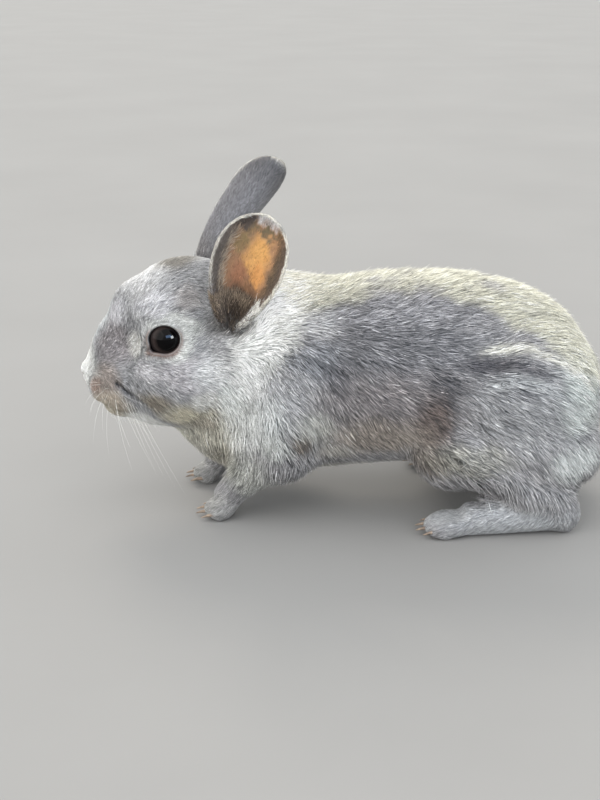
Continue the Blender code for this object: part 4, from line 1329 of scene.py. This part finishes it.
# ---------------------------------------------------------------- the coat
def coat_roots(skin, chart, wanted):
    """Seeded places over the skin, closer together where the coat is finer."""
    mesh = skin.data
    p = points_of(mesh)
    n = normals_of(mesh)
    tri = np.zeros(len(mesh.polygons) * 3, np.int32)
    mesh.polygons.foreach_get("vertices", tri)
    tri = tri.reshape(-1, 3)
    uv = np.zeros(len(mesh.loops) * 2, np.float32)
    mesh.uv_layers.active.data.foreach_get("uv", uv)
    uv = uv.reshape(-1, 3, 2)
    corners = p[tri]
    area = np.linalg.norm(np.cross(corners[:, 1] - corners[:, 0], corners[:, 2] - corners[:, 0]), axis=1) / 2
    middle = corners.mean(1)
    density = coat_at(middle)[:, 3]
    near = np.flatnonzero((middle[:, 2] > 84) & (middle[:, 0] < 75))
    d, _, s, j, side, _, _ = chart.at(middle[near])
    ear = (d < 1.6) & (s > 0.06)
    across = np.abs(j)
    bare = (side > 0) & (across < 0.62) & (s > 0.28) & (s < 0.92)
    density[near[ear]] = np.where(bare, 0.7, np.where(side > 0, np.where(s < 0.30, 9.0, 6.5), 7.0))[ear]
    rho, _, out, _ = round_the_eye(folded(middle))
    density[(rho < 1.12) & (out > 0)] = 0.0
    density[(rho >= 1.12) & (rho < 1.20) & (out > 0)] *= 0.6
    density[middle[:, 2] < 0.5] *= 0.6
    density *= off_the_lines(middle, 1.0, 0.92)
    total = np.cumsum(area * density)
    rng = np.random.default_rng(SEED)
    print(f"the coat asks for {total[-1]:.0f} tufts over {area.sum():.0f} square mm")
    pick = (np.arange(wanted) + rng.uniform(0, 1, wanted)) / wanted * total[-1]
    chosen = np.searchsorted(total, pick)
    a, b = rng.uniform(0, 1, (2, wanted))
    over = a + b > 1
    a, b = np.where(over, 1 - a, a), np.where(over, 1 - b, b)
    w = np.stack([1 - a - b, a, b], axis=1)
    root = np.einsum("ij,ijk->ik", w, p[tri[chosen]])
    normal = unit(np.einsum("ij,ijk->ik", w, n[tri[chosen]]))
    place = np.einsum("ij,ijk->ik", w, uv[chosen])
    return root, normal, place, (p, n, tri)


def nearest(bvh, points, n, tri):
    """The nearest point of the skin to each point, with the smooth normal there."""
    spots = np.empty_like(points)
    index = np.empty(len(points), int)
    find = bvh.find_nearest
    for i, q in enumerate(points):
        where, _, face, _ = find(q)
        spots[i] = where
        index[i] = face
    return spots, unit(n[tri[index]].mean(1))


def build_coat(skin, chart, wanted):
    rng = np.random.default_rng(SEED + 1)
    root, normal, place, (p, n, tri) = coat_roots(skin, chart, wanted)
    count = len(root)
    bvh = BVHTree.FromPolygons(p.tolist(), tri.tolist())
    said("coat roots")
    numbers = coat_at(root)
    depth, length, thick, _, clump, ragged = numbers.T.copy()
    way = combed(root, normal)
    colour = np.ones((count, 3))

    # hair lies short and close along the lines of the face
    length *= off_the_lines(root, 2.4, 0.5)
    depth *= off_the_lines(root, 2.0, 0.5)

    # ears have a coat of their own
    near = np.flatnonzero((root[:, 2] > 84) & (root[:, 0] < 75))
    d, number, s, j, side, along, out = chart.at(root[near])
    on = (d < 1.6) & (s > 0.06)
    e = near[on]
    number, s, j, side, along = number[on], s[on], j[on], side[on], along[on]
    inner = side > 0
    across = np.abs(j)
    lead = along + 0.25 * (rng.normal(0, 1, (len(e), 3)))
    rimward = np.cross(out[on], along) * np.sign(j)[:, None] * -1.0
    lead = lead + np.where(inner, 0.45 * across, 0.12)[:, None] * rimward
    nn = normal[e]
    way[e] = unit(lead - nn * np.einsum("ij,ij->i", lead, nn)[:, None])
    depth[e] = np.where(inner, 0.75, 0.95)
    length[e] = np.where(inner, 2.6, 3.2)
    low = 1 - step(0.10, 0.42, s)
    depth[e] += low * np.where(inner, 1.5, 0.6)
    length[e] += low * np.where(inner, 3.4, 1.4)
    thick[e] = 0.085 + 0.03 * low
    clump[e] = 0.22
    ragged[e] = 0.6
    colour[e] = ear_tone(number, s, j, side)
    # pale hairs stand beside the furred front edge and lean over the cup
    hind = np.where(number == 0, j, -j)
    fringe = inner & (hind > -0.80) & (hind < -0.58) & (s > 0.24) & (s < 0.84) & (rng.uniform(0, 1, len(e)) < 0.45)
    f = e[fringe]
    length[f] = 4.0
    depth[f] = 1.3
    way[f] = unit(way[f] - 0.7 * rimward[fringe])
    colour[f] = colour[f] * 0.45 + linear((198, 182, 160)) * 0.55
    # long dark hair fills the foot of the ear and hides where its edges meet the head
    foot = (s < 0.26) & np.where(number == 0, (inner | (across > 0.6)) & (hind < 0.50), inner & (across < 0.6))
    f = e[foot]
    length[f] = 5.0 + 2.0 * rng.uniform(0, 1, len(f))
    depth[f] = 1.6 + 1.2 * rng.uniform(0, 1, len(f))
    ticked = rng.uniform(0, 1, len(f)) < 0.12 + 0.45 * step(0.10, 0.22, s[foot])
    colour[f] = np.where(ticked[:, None], linear((146, 130, 112)), linear((74, 63, 54)))
    behind = (number == 0) & (s < 0.30) & (hind > 0.66) & (rng.uniform(0, 1, len(e)) < 0.75)
    f = e[behind]
    length[f] = 4.5
    depth[f] = 1.6
    colour[f] = linear((236, 234, 226))
    is_ear = np.zeros(count, int)
    is_ear[e] = number + 1

    # each tuft follows the skin from its root to its tip
    length *= np.exp(rng.normal(0, 0.14, count))
    turn = np.radians(rng.normal(0, 11.0, count))
    way = unit(way * np.cos(turn)[:, None] + np.cross(normal, way) * np.sin(turn)[:, None])
    one, n_one = nearest(bvh, root + way * (0.42 * length)[:, None], n, tri)
    ahead = unit(way - n_one * np.einsum("ij,ij->i", way, n_one)[:, None])
    two, n_two = nearest(bvh, one + ahead * (0.58 * length)[:, None], n, tri)
    said("tufts laid along the skin")
    rise = 1.02 - 0.52 * ragged * rng.uniform(0, 1, count) ** 1.6
    middle = one + n_one * (depth * 0.66 * rng.uniform(0.75, 1.1, count))[:, None]
    tip = two + n_two * (depth * rise)[:, None]
    # a few stray ones stand out further
    stray = rng.uniform(0, 1, count) < 0.05
    tip += n_two * (stray * depth * 0.30 * ragged)[:, None]
    # the markings are taken where a tuft shows, past its middle
    body = np.flatnonzero(is_ear == 0)
    colour[body] = tone_at(0.45 * middle[body] + 0.55 * tip[body])

    # neighbours gather into locks
    share = 1.0 / (numbers[:, 3] * np.interp(depth, [0.5, 2.3, 5.2], [0.7, 1.1, 2.4]))
    seeds = np.flatnonzero(rng.uniform(0, 1, count) < share)
    tree = KDTree(len(seeds))
    for k, i in enumerate(seeds):
        tree.insert(root[i], k)
    tree.balance()
    lock = np.array([tree.find(q)[1] for q in root], int)
    lead = seeds[lock]
    gather = clump * rng.uniform(0.6, 1.25, count)
    same = is_ear[lead] == is_ear
    far = np.linalg.norm(tip[lead] - tip, axis=1) > 1.1 * length
    gather = np.where(same & ~far, gather, 0.0)
    middle += (0.35 * gather)[:, None] * (middle[lead] - middle)
    tip += gather[:, None] * (tip[lead] - tip)
    lock_tone = np.exp(rng.normal(0, 0.16, len(seeds)))[lock]
    said(f"{len(seeds)} locks")

    # nothing dips under the floor
    middle[:, 2] = np.maximum(middle[:, 2], 0.25)
    tip[:, 2] = np.maximum(tip[:, 2], 0.12)

    # a tuft: a pointed root, three corners round its middle and a pointed tip
    axis = unit(tip - root)
    across = unit(np.cross(axis, n_one))
    over = np.cross(across, axis)
    thick = thick * rng.uniform(0.75, 1.2, count)
    spread = (thick * 1.0)[:, None]
    base = root - normal * 0.15
    left = middle + across * spread - over * spread * 0.45
    right = middle - across * spread - over * spread * 0.45
    crest = middle + over * spread * 0.62
    verts = np.stack([base, left, right, crest, tip], axis=1)

    # colour: darker roots, paler tips, ticked where the coat is slate
    bright = colour @ np.array((0.3, 0.6, 0.1))
    slate = 1 - step(0.16, 0.45, bright)
    tick = rng.uniform(0, 1, count)
    each = np.exp(rng.normal(0, 0.33 + 0.05 * slate, count)) * lock_tone
    each *= np.where(tick < 0.10 + 0.10 * slate, 1.35 + 0.35 * slate, 1.0)
    each *= np.where(tick > 0.86 - 0.08 * slate, 0.56, 1.0)
    quiet = (is_ear > 0) | (numbers[:, 0] < 1.4)
    each = np.where(quiet, each**0.6, each ** (1 - 0.28 * headness(root)))
    shade = colour * each[:, None]
    vary = np.exp(rng.normal(0, 0.15, (5, count)))[..., None]
    under = shade * (np.array((0.48, 0.47, 0.48)) + 0.38 * step(0.55, 0.85, bright)[:, None]) * vary[0]
    body = np.clip(shade * np.array((0.90, 0.90, 0.90)) * vary[1], 0, 0.90)
    end = np.clip(shade * np.array((1.16, 1.14, 1.11)) * vary[2], 0, 0.98)
    hues = np.stack([under, body * vary[3], body * vary[4], body, end], axis=1)

    # soft shading: the tufts take most of their shade from the form under them
    k = 0.62
    geo = np.stack([-axis * 0.2 + n_one, unit(across - 0.3 * over), unit(-across - 0.3 * over), over, axis * 0.3 + over], axis=1)
    form = np.stack([normal, n_one, n_one, n_one, n_two], axis=1)
    shading = unit(k * form + (1 - k) * unit(geo))

    # map: a small patch at the root's place
    patch = np.array([(-1.0, 0.0), (-0.1, -1.0), (-0.1, 1.0), (-0.1, 0.0), (1.0, 0.0)]) * 0.0015
    spots = np.clip(place[:, None, :] + patch[None], 0.0, 1.0)
    corners = np.array([(0, 2, 1), (4, 1, 2), (0, 1, 3), (0, 3, 2), (4, 3, 1), (4, 2, 3)])

    # pieces by region, split so that none holds more than 32,000 tufts; pieces by
    # region, each small enough to export whole
    head = headness(root) > 0.5
    x = root[:, 0]
    label = np.where(
        is_ear > 0,
        np.where(is_ear == 1, "ear_left", "ear_right"),
        np.where(
            head,
            np.where(x > 92, "muzzle", np.where(root[:, 1] > 0, "head_left", "head_right")),
            np.where(
                root[:, 2] < 22,
                np.where(x > 0, "forefeet", "hindfeet"),
                np.where(x > 18, "chest", np.where(x > -28, "ribs", np.where(x > -66, "loin", "rump"))),
            ),
        ),
    )
    pieces = []
    for name in sorted(set(label.tolist())):
        members = np.flatnonzero(label == name)
        members = members[np.argsort(root[members, 1], kind="stable")]
        parts = max(1, math.ceil(len(members) / 32000))
        for part, some in enumerate(np.array_split(members, parts)):
            title = f"coat_{name}" + (f"_{part + 1}" if parts > 1 else "")
            m = len(some)
            faces = (corners[None] + (np.arange(m) * 5)[:, None, None]).reshape(-1, 3)
            obj = mesh_object(title, verts[some].reshape(-1, 3), faces)
            mesh = obj.data
            set_tone(mesh, hues[some].reshape(-1, 3))
            layer = mesh.uv_layers.new(name="OFBake")
            flat = spots[some].reshape(-1, 2)[faces.ravel()]
            layer.data.foreach_set("uv", flat.astype(np.float32).ravel())
            mesh.shade_smooth()
            mesh.normals_split_custom_set_from_vertices(shading[some].reshape(-1, 3).astype(np.float32))
            pieces.append(obj)
            print(f"{title}: {m} tufts, {m * 6} triangles")
    said("coat made")
    return pieces


# ---------------------------------------------------------------- eyes, claws, whiskers
def eye_ball(name, side):
    """A ball a little fuller over the pupil, its pole along the way it looks."""
    centre = np.array(EYE_CENTRE) * (1, side, 1)
    axis = unit(np.array(GAZE) * (1, side, 1))
    one = unit(np.cross(axis, (0, 0, 1.0)))
    two = np.cross(axis, one)
    around, rings = 72, 44
    points, away = [centre + axis * (EYE_RADIUS + 0.25)], [0.0]
    for i in range(1, rings):
        phi = math.pi * (i / rings) ** 1.15
        size = EYE_RADIUS - 0.05 + 0.30 * (1 - float(step(0.1, 0.95, phi)))
        for k in range(around):
            a = 2 * math.pi * k / around
            points.append(
                centre
                + size * (axis * math.cos(phi) + (one * math.cos(a) + two * math.sin(a)) * math.sin(phi))
            )
            away.append(min(1.0, size * math.sin(phi) / 7.0) if phi < math.pi / 2 else 1.0)
    points.append(centre - axis * (EYE_RADIUS - 0.05))
    away.append(1.0)
    faces = []
    last = len(points) - 1
    for k in range(around):
        n = (k + 1) % around
        faces.append((0, 1 + k, 1 + n))
        faces.append((last, last - around + n, last - around + k))
        for i in range(rings - 2):
            a, b = 1 + i * around, 1 + (i + 1) * around
            faces.append((a + k, b + k, b + n))
            faces.append((a + k, b + n, a + n))
    obj = mesh_object(name, np.array(points), np.array(faces))
    bm = bmesh.new()
    bm.from_mesh(obj.data)
    bmesh.ops.recalc_face_normals(bm, faces=bm.faces)
    bm.to_mesh(obj.data)
    bm.free()
    layer = obj.data.attributes.new("away", "FLOAT", "POINT")
    layer.data.foreach_set("value", np.array(away, np.float32))
    obj.data.shade_smooth()
    return obj


def strands(name, roots, ways, lengths, bends, radii, segments=10, sides=4, blunt=0.08, power=0.8):
    """Thin tapered hairs or claws as closed solids, joined into one mesh."""
    points, faces = [], []
    for root, way, length, bend, radius in zip(roots, ways, lengths, bends, radii):
        start = len(points)
        root, way, bend = (np.asarray(v, float) for v in (root, way, bend))
        side = unit(np.cross(way, (0.3, 0.2, 1.0)))
        for i in range(segments):
            t = i / segments
            spot = root + way * length * t + bend * length * t * t
            ahead = unit(way + 2 * bend * t)
            one = unit(np.cross(ahead, side))
            two = np.cross(ahead, one)
            size = radius * max((1 - t) ** power, blunt)
            for k in range(sides):
                a = 2 * math.pi * k / sides
                points.append(spot + (one * math.cos(a) + two * math.sin(a)) * size)
        points.append(root + way * length + bend * length)
        points.append(root)
        for i in range(segments - 1):
            for k in range(sides):
                n = (k + 1) % sides
                a, b = start + i * sides, start + (i + 1) * sides
                faces.append((a + k, a + n, b + n))
                faces.append((a + k, b + n, b + k))
        end = start + (segments - 1) * sides
        for k in range(sides):
            n = (k + 1) % sides
            faces.append((end + k, end + n, start + segments * sides))
            faces.append((start + n, start + k, start + segments * sides + 1))
    obj = mesh_object(name, np.array(points), np.array(faces))
    bm = bmesh.new()
    bm.from_mesh(obj.data)
    bmesh.ops.recalc_face_normals(bm, faces=bm.faces)
    bm.to_mesh(obj.data)
    bm.free()
    obj.data.shade_smooth()
    return obj


def claws(name, tip, toe, side, ahead):
    roots, ways, lengths, bends, radii = [], [], [], [], []
    for k in range(4):
        off = k - 1.5
        yaw = math.radians(5.0 * off * side)
        way = unit(np.array((math.cos(yaw), math.sin(yaw), -0.04)))
        x = tip[0] + ahead - 1.3 * off * off + toe[0] - 0.12 * CLAW_LENGTH - CLAW_LENGTH / 2
        roots.append((x, (tip[1] + (TOE_SPREAD + 0.25) * off) * side, tip[2] - 0.7))
        ways.append(way)
        lengths.append(CLAW_LENGTH * 0.98)
        bends.append((0.0, 0.0, -0.16))
        radii.append(0.95)
    return strands(name, roots, ways, lengths, bends, radii, segments=12, sides=10, blunt=0.12, power=0.6)


def whiskers(bvh, skin_arrays):
    """Long stiff hairs of the pads, brows and cheeks, and short ones under the lip."""
    _, n, tri = skin_arrays
    rng = np.random.default_rng(SEED + 5)
    long_ones, short_ones = [], []
    for side in (1.0, -1.0):
        for row in range(3):
            for column in range(5):
                back = column / 4
                spot = np.array((107.5 - 2.6 * column, side * (11.0 + 3.0 * back), 60.0 - 2.9 * row - 0.8 * column)) + rng.normal(0, 0.35, 3)
                way = (0.62 - 1.05 * back, side * (0.80 - 0.25 * back), 0.42 - 0.42 * row - 0.25 * back)
                reach = (13 if row == 0 else 14) + 15 * back + rng.uniform(-3, 3)
                long_ones.append((spot, way, reach, (-0.22, 0.0, -0.16 - 0.08 * row)))
        for k in range(4):  # the longest, drooping from the back of the pad
            spot = np.array((95.5 - 1.3 * k, side * 15.0, 55.5 - 1.6 * k))
            long_ones.append((spot, (-0.32 - 0.05 * k, side * 0.45, -0.62), 34 + 3 * k, (-0.10, 0.0, -0.12)))
        for k in range(4):  # above the eye
            spot = np.array((82 - 2.0 * k, side * 19.0, 95.0))
            long_ones.append((spot, (0.25 - 0.3 * k, side * 0.55, 0.75), 13 + rng.uniform(0, 3), (-0.2, 0.1 * side, -0.1)))
        for k in range(2):  # on the cheek
            spot = np.array((78 - 4.0 * k, side * 26.0, 66.0 - 3 * k))
            long_ones.append((spot, (-0.35, side * 0.8, -0.15), 15 + 2 * k, (-0.2, 0.0, -0.15)))
        for k in range(46):  # hanging from the lip and chin
            x = rng.uniform(84, 108)
            spot = np.array((x, side * rng.uniform(2.0, 12.0), 41.5 + 4.0 * (x > 102)))
            short_ones.append(
                (spot, (-0.45 + rng.normal(0, 0.12), side * rng.uniform(0.0, 0.25), -0.85), rng.uniform(3.5, 7.5), (-0.15, 0, -0.05))
            )
    made = []
    for name, rows, radius in (("whiskers", long_ones, 0.048), ("lip_hairs", short_ones, 0.045)):
        spots = np.array([r[0] for r in rows])
        on, normal = nearest(bvh, spots, n, tri)
        ways = unit(np.array([r[1] for r in rows], float) + 0.15 * normal)
        lengths = [r[2] for r in rows]
        bends = [r[3] for r in rows]
        radii = [radius * (0.8 + 0.4 * rng.uniform()) for _ in rows]
        made.append(strands(name, on - normal * 0.2, ways, lengths, bends, radii, segments=12, sides=4))
    return made


# ---------------------------------------------------------------- the scene
def area_light(name, place, target, size, power, colour):
    lamp = bpy.data.lights.new(name, "AREA")
    lamp.shape = "RECTANGLE"
    lamp.size, lamp.size_y = size
    lamp.energy = power
    lamp.color = colour
    obj = bpy.data.objects.new(name, lamp)
    bpy.context.scene.collection.objects.link(obj)
    obj.location = place
    obj.rotation_euler = (Vector(target) - Vector(place)).to_track_quat("-Z", "Y").to_euler()
    return obj


def sun_light(name, towards, angle, strength, colour):
    lamp = bpy.data.lights.new(name, "SUN")
    lamp.energy = strength
    lamp.angle = math.radians(angle)
    lamp.color = colour
    obj = bpy.data.objects.new(name, lamp)
    bpy.context.scene.collection.objects.link(obj)
    obj.rotation_euler = Vector(towards).to_track_quat("Z", "Y").to_euler()
    return obj


def spot_light(name, place, target, cone, power, colour):
    lamp = bpy.data.lights.new(name, "SPOT")
    lamp.energy = power
    lamp.color = colour
    lamp.spot_size = math.radians(cone)
    lamp.spot_blend = 1.0
    lamp.shadow_soft_size = 0.02
    obj = bpy.data.objects.new(name, lamp)
    bpy.context.scene.collection.objects.link(obj)
    obj.location = place
    obj.rotation_euler = (Vector(target) - Vector(place)).to_track_quat("-Z", "Y").to_euler()
    return obj


def make_stage():
    scene = bpy.context.scene
    scene.view_settings.view_transform = "Standard"
    scene.view_settings.look = "None"
    world = bpy.data.worlds.new("studio")
    scene.world = world
    world.use_nodes = True
    background = world.node_tree.nodes["Background"]
    background.inputs["Color"].default_value = (0.965, 0.992, 1.0, 1)
    background.inputs["Strength"].default_value = WORLD
    floor = mesh_object("floor", np.array([(-9000, -9000, 0), (9000, -9000, 0), (9000, 9000, 0), (-9000, 9000, 0)]), [(0, 1, 2, 3)])
    floor.data.materials.append(plain_material("floor_paint", (138, 137, 136), (143, 142, 141), 0.85, 6.0, 0.1))
    sun_light("key", (0.25, -0.80, 0.75), 25.0, KEY, (1.0, 0.93, 0.82))
    sun_light("top", (-0.25, 0.50, 1.0), 80.0, TOP, (1.0, 0.99, 0.97))
    sun_light("front", (0.62, 0.62, 0.38), 70.0, FRONT, (1.0, 0.985, 0.955))
    eye = np.array((0.078, 0.024, 0.084))
    # two lamps seen only as highlights: a window's blue sky in the eye, and the bright pane in it
    for name, towards, size, power, colour in (
        ("fill", (-0.49, 0.765, 0.40), (0.66, 0.30), FILL, (0.34, 0.58, 1.0)),
        ("spark", (-0.83, 0.515, 0.235), (0.32, 0.27), SPARK, (0.90, 0.96, 1.0)),
    ):
        lamp = area_light(name, eye + 0.93 * unit(np.array(towards)), eye, size, power, colour)
        lamp.visible_diffuse = False
    # sun that comes between the ears on to the white fur behind the left one
    patch = np.array((0.0375, 0.023, 0.0975))
    spot_light("gap", patch + 0.60 * unit(np.array((-0.50, 0.66, 0.56))), patch, 4.4, GAP, (1.0, 0.985, 0.95))
    camera = bpy.data.objects.new("camera", bpy.data.cameras.new("camera"))
    scene.collection.objects.link(camera)
    target = Vector((0.024, 0.0, 0.048))
    tilt = math.radians(21.0)
    back = Vector((0.0, math.cos(tilt), math.sin(tilt)))
    camera.location = target + back * 0.55
    camera.rotation_mode = "QUATERNION"
    camera.rotation_quaternion = (-back).to_track_quat("-Z", "Y")
    camera.data.lens = 55.0
    camera.data.sensor_width = 36.0
    camera.data.clip_start, camera.data.clip_end = 0.02, 60.0
    scene.camera = camera


WORLD, KEY, TOP, FRONT, FILL, SPARK, GAP = 1.35, 1.40, 0.90, 1.50, 12.5, 18.0, 11.0
TUFTS = 246000


def main():
    make_stage()
    chart = EarChart()
    skin = build_skin(chart)
    unwrap(skin)
    said("skin unwrapped")
    skin.name = skin.data.name = "skin"
    skin.data.materials.clear()
    skin.data.materials.append(fur_material("skin_under_fur", 0.62, 0.10, bumpy=True))
    paint_skin(skin, chart)
    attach(skin, "root")
    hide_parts(*FLESH)

    coat = fur_material("coat_hair", 0.66, 0.07)
    for piece in build_coat(skin, chart, TUFTS):
        piece.data.materials.append(coat)
        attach(piece, "root")

    ball = eye_material()
    for word, side in (("left", 1.0), ("right", -1.0)):
        eye = eye_ball(f"eyeball_{word}", side)
        eye.data.materials.append(ball)
        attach(eye, "root")
        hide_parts(f"eye_{word}")

    horn = plain_material("claw_horn", (92, 78, 68), (158, 140, 122), 0.35, 420.0)
    for word, side, ahead in (("left", 1.0, 0.0), ("right", -1.0, RIGHT_PAW_STEP)):
        for name, tip, toe, more in (
            (f"claws_fore_{word}", FOREPAW_TIP, FORETOE, ahead),
            (f"claws_hind_{word}", HINDPAW_TIP, HINDTOE, 0.0),
        ):
            piece = claws(name, tip, toe, side, more)
            piece.data.materials.append(horn)
            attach(piece, "root")

    p = points_of(skin.data)
    tri = np.zeros(len(skin.data.polygons) * 3, np.int32)
    skin.data.polygons.foreach_get("vertices", tri)
    tri = tri.reshape(-1, 3)
    bvh = BVHTree.FromPolygons(p.tolist(), tri.tolist())
    white = plain_material("whisker_hair", (236, 236, 232), (250, 250, 246), 0.4, 300.0)
    for piece in whiskers(bvh, (p, normals_of(skin.data), tri)):
        piece.data.materials.append(white)
        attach(piece, "root")
    said("all pieces made")


main()
bpy.context.view_layer.update()
